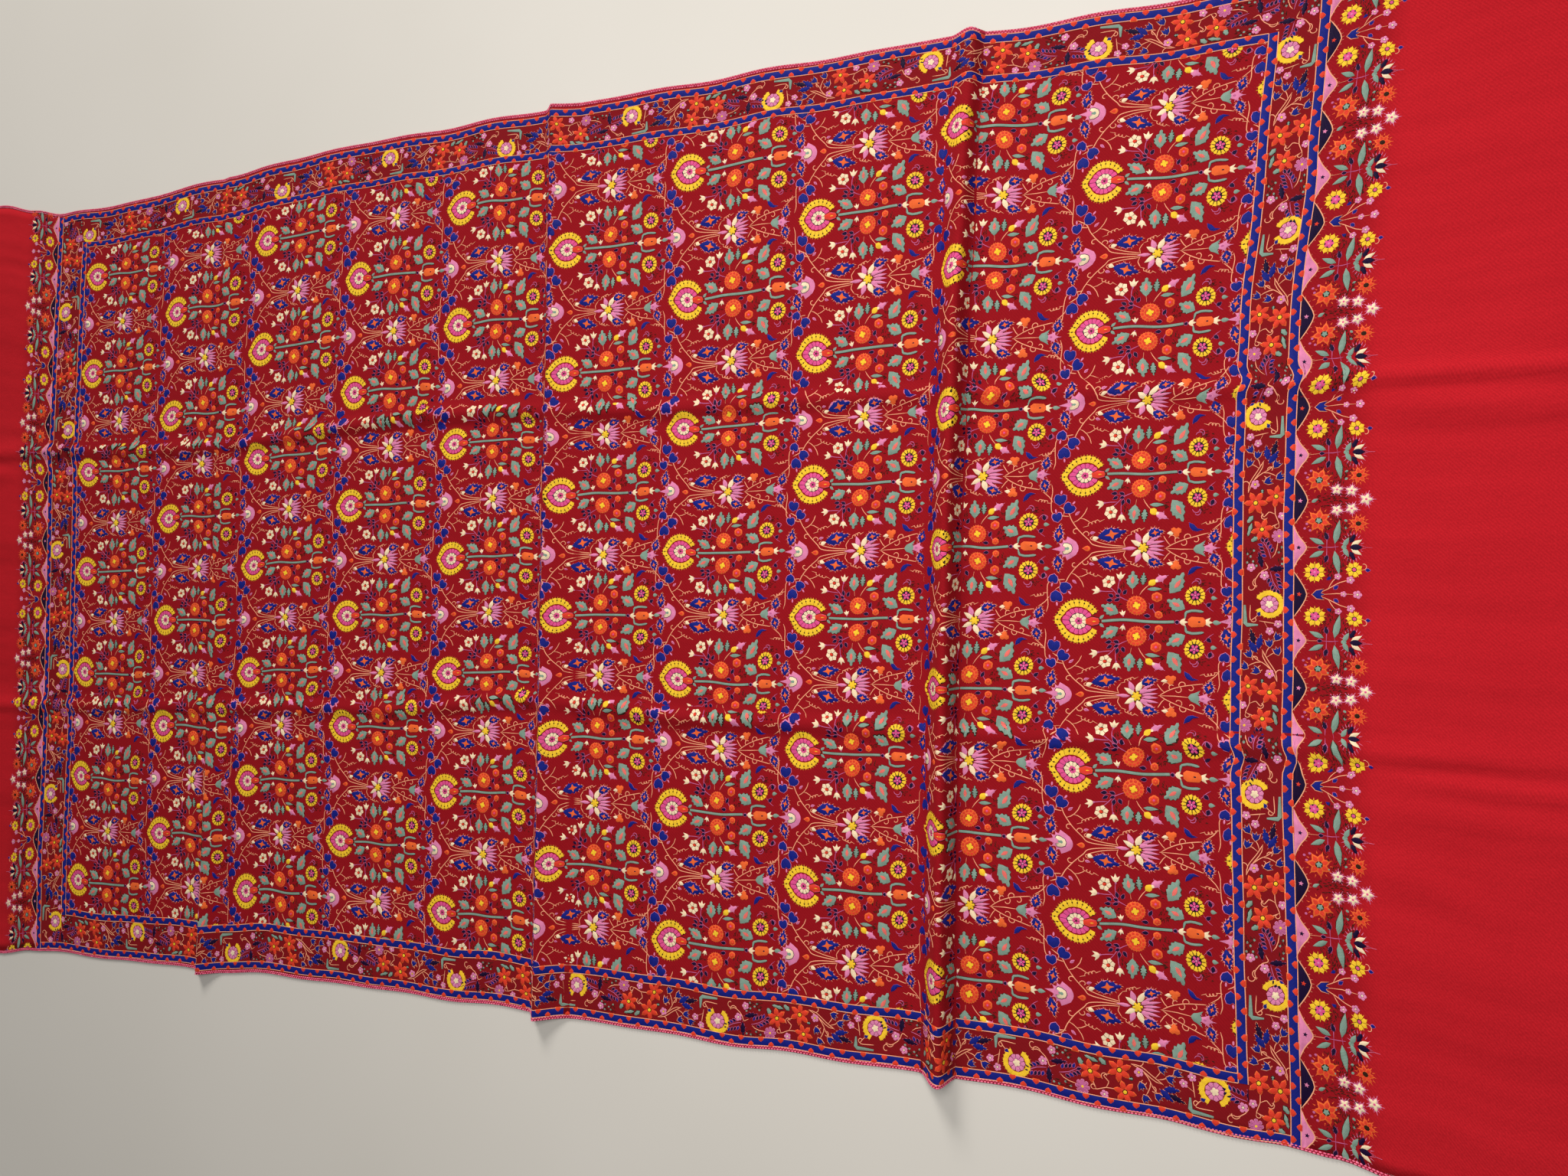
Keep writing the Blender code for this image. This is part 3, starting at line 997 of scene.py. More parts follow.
def star_flower(s, at, size, turn=0.0):
    """A coral flower of six pointed petals, each with its own lighter rim."""
    s.patch("orange", petals(size / 2 + 0.9, size * 0.24, 6, 0.5), at, turn, 0, 0.6)
    petal_ring(s, "coral", leaf(size * 0.42, size * 0.27), at, size * 0.29, 6, turn, 1, 0.6)
    s.patch("coral", oval(size * 0.38, size * 0.38, 9), at, 0, 1)
    s.patch("olive", oval(size * 0.25, size * 0.25, 8), at, 0, 2)
    s.patch("yellow", oval(size * 0.18, size * 0.18, 7), at, 0, 3)


def pink_flower(s, at, size, eye="cream"):
    s.patch("navy", oval(size * 0.9, size * 0.9, 9), at)
    petal_ring(s, "rose", oval(size * 0.40, size * 0.44, 6), at, size * 0.31, 5)
    s.patch(eye, oval(size * 0.26, size * 0.26, 6), at, 0, 2)


def corkscrew(start, heading, length):
    """A tendril that winds through small loops in its middle."""
    loops, radius, steps = 3, 1.15, 5
    turns = np.linspace(0.0, 2 * math.pi * loops, loops * steps + 1)
    run = np.linspace(0.26, 0.74, len(turns)) * length
    path = np.column_stack([run - radius * np.sin(turns), radius * (1.0 - np.cos(turns))])
    path = np.concatenate([[[0.0, 0.4]], path, [[length, 0.6]]])
    return turned(path, heading) + start


SCATTER = np.random.default_rng(7)
GROUND_ROOM = 4.0


def ground_patch(s, at, turn, length, width):
    """A loose patch of short dark stitches that shades the ground behind a motif."""
    for _ in range(int(length * width / GROUND_ROOM)):
        a, b = SCATTER.uniform(-0.5, 0.5, 2) * (length, width)
        middle = np.asarray(at) + turned([[a, b]], turn)[0]
        heading = turn + SCATTER.uniform(-35, 35)
        step = turned([[1.0, 0.0]], heading)[0]
        s.line("olive", [middle - step, middle + step], 0.55, taper=False)


# The flowering tree, from its round flower at a 0 to its roots at a 118
TREE_LEAVES = [  # a, b, heading, length, width, bend
    (28.0, 10.4, 152, 17.0, 10.5, 0.0), (47.4, 37.0, 92, 16.5, 10.5, 0.0),
    (84.4, 15.6, 150, 16.5, 11.5, 0.0), (85.6, 34.3, 52, 21.0, 12.5, 3.5),
]
TREE_EYED_LEAVES = [  # a, b, heading, length, width
    (27.5, 18.6, 175, 5.6, 3.0), (28.8, 22.8, 150, 5.2, 2.8), (34.6, 18.6, 200, 5.2, 2.8),
    (36.2, 26.8, 100, 5.6, 3.0), (41.5, 25.6, 60, 5.2, 3.0), (35.0, 22.4, 160, 4.4, 2.6),
    (64.5, 13.4, 65, 5.6, 3.0), (60.2, 4.8, 175, 5.4, 3.0), (114.2, 28.0, 105, 5.4, 3.4),
    (112.4, 15.2, 40, 5.0, 3.4),
]
TREE_CROWNS = [  # a, b, heading, size
    (39.5, 6.4, 100, 6.0), (36.2, 40.6, 88, 8.5), (15.5, 28.2, 168, 8.5),
]
TREE_TWIGS = [  # path, width
    (curve([(44.5, 17.5), (36.5, 21.5), (31.5, 27.0), (26.5, 31.5)], 4), 0.8),
    (curve([(36.5, 21.5), (35.0, 30.0), (35.8, 37.0)], 4), 0.8),
    (curve([(31.0, 26.5), (22.0, 27.0), (17.5, 28.0)], 3), 0.8),
    ([(38.5, 20.5), (28.0, 18.8)], 0.7),
    ([(62.0, 16.5), (67.0, 8.0), (72.0, 3.5)], 0.7),
    (curl((97.0, 34.0), 60, 4.5, -190), 0.8),
    (curl((104.0, 33.5), 70, 4.5, 200), 0.8),
    (curve([(109.5, 27.0), (113.0, 30.5), (117.5, 28.5), (115.0, 24.5)], 3), 0.8),
    ([(108.0, 17.0), (112.5, 12.0), (116.0, 9.5)], 0.7),
]
TREE_STALKS = [  # path, width
    (curve([(54.5, 23.5), (57.5, 28.5), (62.0, 33.5)], 3), 0.8),
    ([(48.5, 23.8), (48.0, 29.0)], 0.8),
]
TREE_SIDES = [  # thread, outline, place, turn, level, bevel
    ("green", leaf(5.5, 2.8), (20.6, 3.8), 40, 1),
    ("yellow", leaf(9.0, 6.2), (64.4, 35.6), 42, 0, 0.6),
    ("rose", leaf(11.5, 7.0, 3), (70.8, 39.4), 28, 0, 0.6),
    ("cream", oval(3.2, 3.2, 7), (67.6, 37.2), 0, 1),
    ("olive", leaf(14.5, 5.2), (66.5, 29.4), 4, 0),
    ("green", leaf(12.5, 3.6), (66.5, 29.4), 4, 1),
    ("green", drop(5.6, 4.0), (117.0, 21.3), 0, 0, 0.6),
]
TREE_GROUND = [  # place, turn, length, width
    ((76.0, 12.0), 60, 12.0, 9.0), ((108.0, 34.0), 0, 11.0, 7.0), ((40.0, 32.0), 80, 9.0, 5.0),
    ((74.0, 31.0), 0, 9.0, 7.0), ((36.0, 12.0), 20, 9.0, 5.0),
]
TREE_STEM = curve([(20.5, 0.0), (40.0, 0.5), (60.0, -0.3), (82.4, 0.3)], 6)
TREE_HANDLE = curve([(91.5, 3.4), (93.0, 8.6), (99.0, 9.8), (107.5, 8.8)], 4)
POINT_SPREAD = 14.0


def pointed(size_a, size_b, tip):
    """The radius at an angle in degrees of an oval with a point at its -a end."""
    def radius(angle):
        t = math.radians(angle)
        round_part = 1.0 / math.sqrt((math.cos(t) / size_a) ** 2 + (math.sin(t) / size_b) ** 2)
        return round_part + tip * math.exp(-(((angle % 360) - 180.0) / POINT_SPREAD) ** 2)
    return radius


def round_line(radius, angles, grow=0.0):
    """Points at a radius that is a function of the angle, and a little further out."""
    return polar(np.array([radius(angle) + grow for angle in angles]), np.radians(angles))


def draw_round_flower(s):
    """The tree's large flower: rings of yellow, pink and cream blocks, with a coral wedge."""
    outer, inner = pointed(18.3, 19.2, 2.8), pointed(13.6, 12.8, 2.4)
    pink_outer, pink_inner = pointed(12.6, 11.6, 2.0), pointed(7.6, 7.3, 1.0)
    s.spikes("yellow", round_line(outer, np.arange(30, 331, 8.0)), length=1.7, width=0.8)
    s.line("olive", round_line(outer, np.arange(25, 336, 12.0), -2.4), 6.6, taper=False)
    s.blocks("yellow", outer, inner, 20, start=26, end=334, level=1, gap=0.055)
    s.patch("navy", round_line(pink_outer, np.arange(18, 360, 18.0), 0.9))
    s.blocks("pink", pink_outer, pink_inner, 14, start=22, end=338, level=1, gap=0.09)
    s.patch("olive", round_line(pink_inner, np.arange(0, 360, 24.0), -0.2), level=1)
    s.blocks("cream", pointed(7.0, 6.8, 0.8), steady(3.0), 10, start=10, end=370, level=2, gap=0.12)
    s.blocks("pink", steady(3.6), steady(0.5), 5, level=2)
    wedge = mirrored([(-7.2, 2.0), (-1.0, 4.2), (5.0, 3.0)], last=(6.4, 0.0))
    s.patch("olive", wedge * 1.12, (12.6, 0.0), level=1)
    s.patch("coral", wedge * 0.95, (12.6, 0.0), level=2, bevel=1.0)
    s.patch("yellow", leaf(6.0, 1.3), (13.6, 0.0), 0, 3)
    for _ in s.both_sides():
        s.line("pink", [(8.0, 1.4), (13.0, 3.2), (18.0, 2.2)], 0.8, 2)


def draw_tree():
    s = Stitches()
    draw_round_flower(s)
    s.line("olive", TREE_STEM, 3.6, taper=False)
    s.line("green", TREE_STEM, 2.3, 2, taper=False)
    for _ in s.both_sides():
        for a, b, heading, length, width, bend in TREE_LEAVES:
            green_leaf(s, (a, b), heading, length, width, bend)
        for a, b, heading, length, width in TREE_EYED_LEAVES:
            eyed_leaf(s, (a, b), heading, length, width)
        for a, b, heading, size in TREE_CROWNS:
            crown(s, (a, b), heading, size)
        scallop_flower(s, (51.8, 13.5), 17.4)
        small_flower(s, (68.7, 22.0), 9.0)
        small_flower(s, (70.0, 6.2), 6.6, eye="orange")
        cream_flower(s, (26.0, 35.9), 11.5, 15)
        ring_flower(s, (100.6, 23.3), 17.0)
        green_leaf(s, (56.5, 38.4), 90, 11.0, 4.6, eye=False)
        s.lines("mauve", TREE_TWIGS)
        s.lines("salmon", TREE_STALKS)
        s.patches(TREE_SIDES)
        s.spikes("rose", leaf(11.5, 7.0)[::2], (70.8, 39.4), 28, length=1.8)
        s.line("olive", TREE_HANDLE, 3.2)
        s.line("green", TREE_HANDLE, 2.1, 2)
        for row in TREE_GROUND:
            ground_patch(s, *row)
    cup = mirrored([(-7.5, 2.4), (-4.5, 4.6), (5.5, 4.0), (8.0, 1.2)])
    crown(s, (90.0, 0.0), 0, 8.0)
    crown(s, (111.0, 0.0), 0, 8.5)
    s.patches([
        ("mauve", leaf(6.6, 4.6), (85.2, 0.0), 0, 0),
        ("navy", leaf(4.8, 3.0), (85.2, 0.0), 0, 1),
        ("orange", cup, (101.5, 0.0), 0, 1, 0.9),
        ("navy", oval(3.4, 2.0, 8), (103.5, 0.0), 0, 2),
        ("green", leaf(8.0, 4.4), (118.6, 0.0), 0, 0, 0.6),
    ])
    return s


# The second motif stands between the trees, on its own middle line
TULIP = mirrored([
    (-7.1, 2.2), (-8.7, 5.6), (-5.1, 5.0), (-5.0, 8.8), (-2.2, 7.1), (-0.5, 11.3), (3.7, 8.9),
    (7.6, 6.2), (9.6, 2.4),
], (-15.4, 0.0), (9.9, 0.0))
TULIP_CUP = mirrored(
    [(-2.0, 1.6), (-5.2, 2.8), (-3.8, 5.2), (-0.4, 5.0), (3.0, 3.2)], (-0.8, 0.0), (4.2, 0.0)
)
TULIP_AT = (-12.3, 0.0)
SMALL_CUP = mirrored(
    [(-4.6, -0.8), (-2.6, -3.4), (0.6, -4.6), (5.2, -7.2), (3.0, -3.0)], last=(5.4, 0.0)
)
SMALL_BLOOM = mirrored([(-5.0, -2.0), (-1.0, -3.4), (1.6, -5.2), (2.2, -2.0)], last=(6.4, 0.0))
HORN = np.array([
    (-6.5, 1.4), (-2.0, 2.4), (2.4, 1.4), (6.8, 3.4), (3.6, -1.0), (0.0, -2.4), (-3.6, -1.4),
])
LOTUS_PETALS = [  # a, b, heading, length, width, thread
    (47.6, 4.4, 150, 12.0, 5.0, "cream"), (48.8, 9.2, 112, 10.5, 5.2, "rose"),
    (56.0, 9.0, 62, 12.5, 5.4, "cream"), (59.4, 4.8, 30, 8.0, 4.4, "rose"),
    (64.6, 1.5, 4, 15.0, 2.8, "rose"), (65.0, 5.0, 12, 15.0, 2.8, "rose"),
    (63.6, 8.6, 24, 12.0, 2.6, "rose"),
]
SECOND_BLUE_LEAVES = [  # a, b, heading, length, width
    (-20.8, 14.0, 80, 16.0, 9.0), (26.4, 13.2, 12, 25.5, 12.6), (64.0, 13.4, 12, 15.0, 9.2),
    (113.4, 10.4, 75, 12.0, 9.0),
]
SECOND_VINES = [  # path, width
    (curve([(37.7, 0.8), (22.0, 1.6), (10.5, 3.6), (6.6, 7.6), (-2.0, 16.0), (-9.0, 25.5),
            (-13.0, 33.0), (-21.5, 38.0)], 3), 0.95),
    (curve([(37.7, 2.2), (22.0, 4.2), (8.4, 8.6), (10.6, 12.0)], 3), 0.85),
    (curl((-3.0, 17.2), 160, 4.4, 260), 0.85),
    (curl((1.5, 12.4), 70, 4.6, -250), 0.85),
    (curve([(-7.5, 23.2), (-2.0, 26.0), (2.6, 31.5), (4.5, 36.5)], 3), 0.85),
    (curve([(-1.0, 27.0), (4.2, 25.8), (7.6, 23.4)], 3), 0.8),
    (corkscrew((2.0, 18.6), 22, 20.0), 0.7),
    (curve([(37.7, 1.5), (36.4, 6.5), (39.5, 11.0)], 3), 0.85),
    (corkscrew((39.5, 11.0), 22, 17.0), 0.75),
    (curve([(73.4, 0.4), (80.0, 4.6), (89.0, 8.6), (99.0, 11.4), (108.6, 13.6)], 3), 0.9),
    (curve([(77.5, 2.8), (73.6, 7.0), (71.5, 11.0)], 3), 0.85),
    (curl((89.5, 8.8), 100, 5.0, -250), 0.85),
    (curl((99.0, 11.4), -40, 4.2, -240), 0.85),
    (curl((90.0, 8.8), -60, 4.6, -230), 0.8),
    (curl((82.0, 5.6), 120, 3.6, -200), 0.8),
    (curl((76.0, 9.6), 60, 4.4, -220), 0.8),
    (curve([(112.0, 16.0), (118.5, 21.0), (122.0, 26.0)], 2), 0.85),
]
SECOND_SIDES = [  # thread, outline, place, turn, level, bevel
    ("cream", drop(6.0, 4.0), (12.8, 9.6), 20, 1, 0.5),
    ("rose", leaf(6.0, 3.2), (10.0, 14.4), 15, 0),
    ("mauve", leaf(3.6, 1.6), (10.0, 14.4), 15, 1),
    ("rose", HORN * 1.2, (97.4, 18.4), -38, 0),
    ("blue", HORN, (97.4, 18.4), -38, 1, 0.7),
    ("rose", leaf(6.4, 3.0), (-4.0, 31.5), 40, 0),
    ("mauve", leaf(3.6, 1.4), (-4.0, 31.5), 40, 1),
    ("orange", petals(5.0, 2.8, 3, 0.3), (82.6, 15.2), 30, 1, 0.6),
    ("cream", leaf(6.2, 3.6), (77.4, 13.8), 190, 0, 0.5),
]
SECOND_MIDDLE = [  # thread, outline, place, turn, level, bevel
    ("rose", TULIP, TULIP_AT, 0, 0, 1.0),
    ("cream", TULIP_CUP, TULIP_AT, 0, 1, 0.6),
    ("green", drop(5.6, 4.4), (-13.0, 0.0), 180, 2),
    ("orange", drop(7.6, 5.4), (4.2, 0.0), 180, 0, 0.6),
    ("coral", drop(5.4, 3.6), (4.0, 0.0), 180, 1),
    ("rose", leaf(13.0, 3.6), (41.0, 0.0), 180, 0, 0.6),
    ("olive", petals(5.2, 3.6, 6, 0.1), (53.2, 0.0), 10, 2),
    ("yellow", petals(4.4, 2.4, 6, 0.1), (53.2, 0.0), 10, 3, 0.8),
    ("olive", SMALL_CUP * 1.14, (101.0, 0.0), 0, 0),
    ("green", SMALL_CUP, (101.0, 0.0), 0, 1, 0.8),
    ("rose", SMALL_BLOOM, (109.6, 0.0), 0, 1, 0.8),
    ("mauve", oval(4.4, 3.0, 7), (108.0, 0.0), 0, 2),
]


def draw_second():
    s = Stitches()
    for tips in (TULIP[1:6], TULIP[-5:]):
        s.spikes("rose", tips, TULIP_AT, length=1.4)
    s.line("navy", TULIP_CUP * 1.04 + TULIP_AT, 0.7, 1, closed=True)
    for _ in s.both_sides():
        for a, b, heading, length, width in SECOND_BLUE_LEAVES:
            blue_leaf(s, (a, b), heading, length, width)
        for a, b, heading, length, width, thread in LOTUS_PETALS:
            s.patch("olive", leaf(length + 1.0, width + 1.2), (a, b), heading)
            s.patch(thread, leaf(length, width), (a, b), heading, 1, 0.8)
        s.patches(SECOND_SIDES)
        s.lines("salmon", SECOND_VINES)
    s.patches(SECOND_MIDDLE)
    s.line("salmon", [(72.0, 0.0), (86.0, 0.0), (99.0, 0.0)], 0.9)
    s.spikes("rose", star(6.2, 4.4, 5), (110.0, 0.0), length=1.8, width=0.8)
    return s


VINE_LINES = [  # path, width
    (curve([(-28.5, 7.5), (-27.0, 14.0), (-27.5, 25.0), (-26.0, 35.0), (-16.5, 37.5),
            (-11.4, 38.0)], 3), 0.85),
    (curve([(-16.5, 37.5), (-14.5, 30.0)], 2), 0.8),
    (corkscrew((-27.0, 25.4), 192, 17.0), 0.75),
]


def draw_column_vine():
    """The thin vine with heart leaves that runs behind each row of round flowers."""
    s = Stitches()
    for _ in s.both_sides():
        s.lines("salmon", VINE_LINES)
        heart_leaf(s, (-19.4, 22.4), 95, 10.6)
        heart_leaf(s, (-11.6, 31.0), 130, 10.0)
        heart_leaf(s, (-22.0, 38.6), 80, 8.6)
    return s


# The flower band between the two stripes. a runs along it, b across it, and each repeat is
# the mirror image of the one before.
BAND_REPEAT = 161.0
BAND_BREADTH = 34.4
RING_CENTRE = (0.0, 6.4)
BAND_FOOT = [(1.0, -14.0), (17.0, -13.6), (18.6, -12.0), (18.6, -3.0)]
BAND_BUSH = (66.0, 14.2)
BAND_VINES = [  # path, width
    (curve([(1.0, -9.2), (14.0, -9.4), (12.0, -5.0), (8.5, -2.0)], 4), 0.85),
    (curl((14.0, -9.0), 30, 4.0, 260), 0.8),
    (curve([(15.0, -2.0), (16.0, 5.0), (17.0, 12.0)], 3), 0.85),
    ([(15.5, 2.0), (23.0, 6.0)], 0.8),
    (curve([BAND_BUSH, (58.0, 12.8), (48.0, 6.0), (39.5, 0.8)], 4), 0.85),
    (curve([BAND_BUSH, (57.0, 9.8), (47.0, 2.6), (41.0, 1.2)], 4), 0.85),
    (curve([(56.0, 9.0), (50.0, 1.0), (52.0, -7.0), (54.0, -10.5)], 4), 0.85),
    (curve([(50.0, 1.0), (47.5, -4.0), (44.5, -7.0)], 3), 0.8),
    (curve([(46.0, 5.0), (43.0, 9.0), (41.5, 11.5)], 3), 0.8),
    (curve([(44.0, 4.0), (38.0, 6.0), (31.5, 11.0)], 3), 0.8),
    (curl((48.0, -2.0), 200, 4.0, 250), 0.8),
    (curl((53.0, 0.5), -60, 4.0, 260), 0.8),
    (curl((60.0, 13.0), 170, 5.0, -230), 0.8),
    (curve([(78.0, -8.4), (86.0, -8.4), (92.0, -11.0), (96.0, -11.6)], 4), 0.85),
    (curve([(86.0, -8.4), (84.0, -3.0), (88.0, 1.0), (83.0, 3.4)], 3), 0.85),
    (curve([(94.0, -11.4), (96.0, -7.0), (97.0, -4.0)], 3), 0.85),
    (curl((89.0, -2.0), 60, 4.6, 240), 0.8),
    (curl((96.0, -12.0), 20, 4.0, 300), 0.8),
    (curve([(110.5, -11.0), (119.0, -9.5), (124.0, -6.0)], 3), 0.85),
    (curve([(128.0, 0.0), (133.0, -2.0), (136.0, 4.0), (143.0, 9.0), (149.0, 8.0)], 4), 0.85),
    (curl((141.0, 8.0), 60, 5.0, -200), 0.8),
    (curl((147.0, 9.0), 10, 5.0, 240), 0.8),
]
BAND_FEATHERS = [  # hairs, thread, a, b, heading, length, width, length of the hairs
    ("salmon", "navy", 29.0, -7.4, 195, 14.0, 5.2, 1.2),
    ("salmon", "blue", 33.0, -1.4, 170, 13.0, 6.0, 1.2),
    ("salmon", "blue", 37.0, -7.0, 215, 13.0, 6.4, 1.2),
    ("mauve", "navy", 125.6, 3.8, 170, 14.0, 5.0, 1.1),
    ("mauve", "navy", 133.6, -10.0, -95, 14.0, 5.4, 1.1),
]
BAND_TULIPS = [  # a, b, heading
    (34.0, 6.6, 190), (28.5, 13.0, 150), (40.5, 13.4, 200), (43.5, -9.7, 215), (54.0, -12.8, 240),
    (57.5, -3.0, 250),
]
BAND_PINK_FLOWERS = [  # a, b, size
    (17.2, 13.4, 7.0), (23.6, 6.6, 7.0), (87.4, -14.0, 7.0), (131.5, 12.0, 7.5), (139.0, 1.0, 8.0),
]
BAND_STARS = [  # a, b, size, turn
    (70.8, -9.4, 18.0, 10), (75.4, 8.0, 19.5, 35), (98.8, 2.4, 18.5, 20),
]
BAND_LEAVES = [  # a, b, heading, length, width
    (89.0, 12.6, 40, 7.5, 5.0), (98.0, 12.8, 15, 12.0, 4.0), (107.0, 8.6, 60, 6.5, 5.0),
    (66.0, 2.0, 0, 3.4, 2.6),
]
BAND_DOTS = [
    (115, -14), (119.5, -11.6), (125, -14.6), (129.5, -14), (122, 12), (117.0, 9.0), (126.5, 10),
    (130.5, 7.4), (119.5, 14.6), (127.0, 15.2),
]


def blue_tulip(s, at, turn, size=7.0):
    outline = mirrored([(-0.15, 0.36), (0.45, 0.46), (0.22, 0.12)], (-0.5, 0.0), (0.55, 0.0)) * size
    s.line("salmon", turned(outline * 1.12, turn) + at, 0.7, closed=True)
    s.patch("blue", outline, at, turn, 1, 0.6)


def twig(s, at, turn):
    """A mauve twig with small eyed leaves on both sides."""
    count, length = 9, 17.0
    stem = curve([(0.0, 0.0), (length * 0.5, 1.0), (length, -0.5)], 4)
    s.line("mauve", turned(stem, turn) + at, 0.8)
    for k in range(count):
        share = 0.22 + 0.78 * k / (count - 1)
        way = 0 if k == count - 1 else (1 if k % 2 else -1)
        reach = 4.6 * (1.05 - 0.45 * share)
        spot = turned([(length * share + 1.2, way * reach)], turn)[0] + at
        eyed_leaf(s, spot, turn + way * 48, 4.2, 2.1, eye="blue" if k % 3 == 0 else "navy")


def draw_band_ring(s):
    """The open ring of yellow blocks at which each repeat starts."""
    ring = np.radians(np.arange(-62, 243, 14.0))
    s.spikes("yellow", polar(12.2, ring), RING_CENTRE, length=1.2)
    s.line("yellow", polar(10.0, ring) + RING_CENTRE, 5.0, taper=False)
    s.blocks("yellow", steady(12.0), steady(7.9), 17, RING_CENTRE, -65, 245, level=1, gap=0.05)
    s.patch("navy", oval(15.4, 15.4, 14), RING_CENTRE)
    s.blocks("rose", steady(7.2), steady(3.8), 9, RING_CENTRE, level=1)
    s.patch("mauve", oval(8.0, 8.0, 10), RING_CENTRE, level=1)
    s.patch("cream", petals(3.4, 2.2, 5, 0.2), RING_CENTRE, level=2)


def draw_band():
    s = Stitches()
    draw_band_ring(s)
    s.line("olive", BAND_FOOT, 4.8)
    s.line("green", BAND_FOOT, 3.4, 1)
    s.lines("salmon", BAND_VINES)
    eyed_leaf(s, (8.5, -1.8), 150, 4.6, 3.2, rim="salmon", eye="blue")
    for hairs, thread, a, b, heading, length, width, hair in BAND_FEATHERS:
        feather = leaf(length, width, 4)
        s.spikes(hairs, feather, (a, b), heading, length=hair, width=0.6)
        s.patch(thread, feather, (a, b), heading, 1, 0.7)
    for a, b, heading in BAND_TULIPS:
        blue_tulip(s, (a, b), heading)
    for a, b, size in BAND_PINK_FLOWERS:
        pink_flower(s, (a, b), size)
    pink_flower(s, (59.6, 8.0), 8.0, eye="yellow")
    for a, b, size, turn in BAND_STARS:
        star_flower(s, (a, b), size, turn)
    for a, b, heading, length, width in BAND_LEAVES:
        s.patch("olive", leaf(length + 1.8, width + 1.8), (a, b), heading)
        s.patch("green", leaf(length, width, 2), (a, b), heading, 1, 0.6)
    s.patch("mauve", petals(5.8, 3.4, 8, 0.1), (105.2, -12.0), bevel=0.8)
    s.line("rose", petals(5.9, 3.8, 8, 0.1) + (105.2, -12.0), 0.7, 1, closed=True)
    s.patch("yellow", oval(3.2, 3.2, 7), (105.2, -12.0), level=1)
    twig(s, (125.0, -5.0), 158)
    twig(s, (136.0, -4.0), -20)
    for a, b in BAND_DOTS:
        s.patch("green", oval(2.6, 2.3, 7), (a, b))
    ground_patch(s, (122.0, -13.0), 0, 16.0, 6.0)
    ground_patch(s, (123.0, 12.0), 0, 18.0, 8.0)
    ground_patch(s, (98.0, 13.0), 0, 12.0, 6.0)
    ground_patch(s, (20.0, 14.0), 0, 9.0, 5.0)
    return s


# Triangles and the loose flower row beyond them. a runs outwards from the stripe, b along it.
TOOTH_HEIGHT = 10.5
TOOTH_BASE = 39.7
TOOTH_MIDDLE = (3.4, 0.0)
TOOTH_PEAK = [(0.0, 1.0), (0.20, 0.72), (0.46, 0.46), (0.82, 0.22)]
TOOTH_DOME = [(0.0, 1.0), (0.34, 0.74), (0.66, 0.46), (0.90, 0.20)]
THISTLE_SIDES = [  # thread, outline, place, turn, level, bevel
    ("olive", leaf(13.6, 6.0), (18.2, 5.6), 155, 0),
    ("green", leaf(12.6, 4.4), (18.2, 5.6), 155, 1, 0.7),
    ("olive", leaf(22.0, 7.6), (33.8, 12.8), 80, 0),
    ("green", leaf(20.5, 5.4), (33.8, 12.8), 80, 1, 0.7),
    ("green", leaf(9.0, 4.0), (40.8, 4.2), 62, 1, 0.6),
    ("navy", leaf(8.4, 4.8, 2), (45.6, 7.0), 62, 1, 0.7),
    ("cream", leaf(9.4, 3.8), (48.8, 3.8), 30, 1, 0.6),
]
TULIP_VINES = [  # path, width
    (curve([(22.0, 2.0), (28.0, 5.0), (36.0, 9.6), (42.0, 11.4)], 3), 0.8),
    (curve([(27.0, 4.4), (30.0, 10.0), (33.0, 13.4)], 3), 0.8),
    (curl((53.0, 20.4), 20, 4.0, 220), 0.7),
]


def tooth(s, thread, eye_thread):
    half = TOOTH_BASE / 2 - 0.4
    profile = TOOTH_PEAK if thread == "rose" else TOOTH_DOME
    side = np.array([(a * TOOTH_HEIGHT, b * half) for a, b in profile])
    edge = np.concatenate([side * (1, -1), [(TOOTH_HEIGHT, 0.0)], side[::-1]])
    outline = np.concatenate([edge, [(-0.4, half * 0.5), (-0.4, 0.0), (-0.4, -half * 0.5)]])
    s.patch(thread, outline - TOOTH_MIDDLE, TOOTH_MIDDLE, bevel=1.0)
    rim = curve(edge, 4)
    s.line("salmon", rim, 0.9, 1)
    for k in range(2, len(rim) - 1, 3):
        out = rim[k] - (2.0, rim[k][1] * 0.75)
        out = out / np.linalg.norm(out)
        s.line("salmon", [rim[k], rim[k] + out * 2.2], 0.6)
    s.patch(eye_thread, star(2.9, 1.4, 5), (4.4, 0.0), 10, 1)


def draw_tooth_pink():
    """A pink triangle with a thistle above it."""
    s = Stitches()
    tooth(s, "rose", "navy")
    s.line("salmon", [(10.0, 0.0), (19.0, 0.3)], 0.8)
    eyed_leaf(s, (21.0, 0.3), 0, 3.8, 2.4)
    s.line("mauve", [(23.4, 0.3), (29.0, 0.0), (35.0, 0.6)], 0.8)
    s.line("mauve", [(33.0, -2.6), (32.2, 2.8)], 0.7)
    for _ in s.both_sides():
        s.line("mauve", [(26.0, 0.0), (26.0, 6.4), (27.0, 12.0)], 0.75)
        eyed_leaf(s, (25.6, 9.4), 105, 6.6, 3.0)
        s.patches(THISTLE_SIDES)
        s.spikes("rose", oval(15.0, 21.0, 22)[:11], (45.5, 0.0), length=2.8)
    s.patch("green", oval(4.5, 4.0, 8), (39.2, 0.0), bevel=0.6)
    s.patch("navy", leaf(10.0, 5.6), (48.5, 0.0), 0, 2, 0.8)
    s.line("rose", [(52.0, -1.6), (57.0, 0.0), (52.0, 1.6)], 0.7)
    s.line("rose", [(56.5, 0.0), (61.0, 0.0)], 0.7)
    for way in (1, -1):
        ground_patch(s, (24.0, 13.0 * way), 60 * way, 15.0, 7.0)
        ground_patch(s, (40.0, 12.0 * way), 80 * way, 15.0, 9.0)
    return s


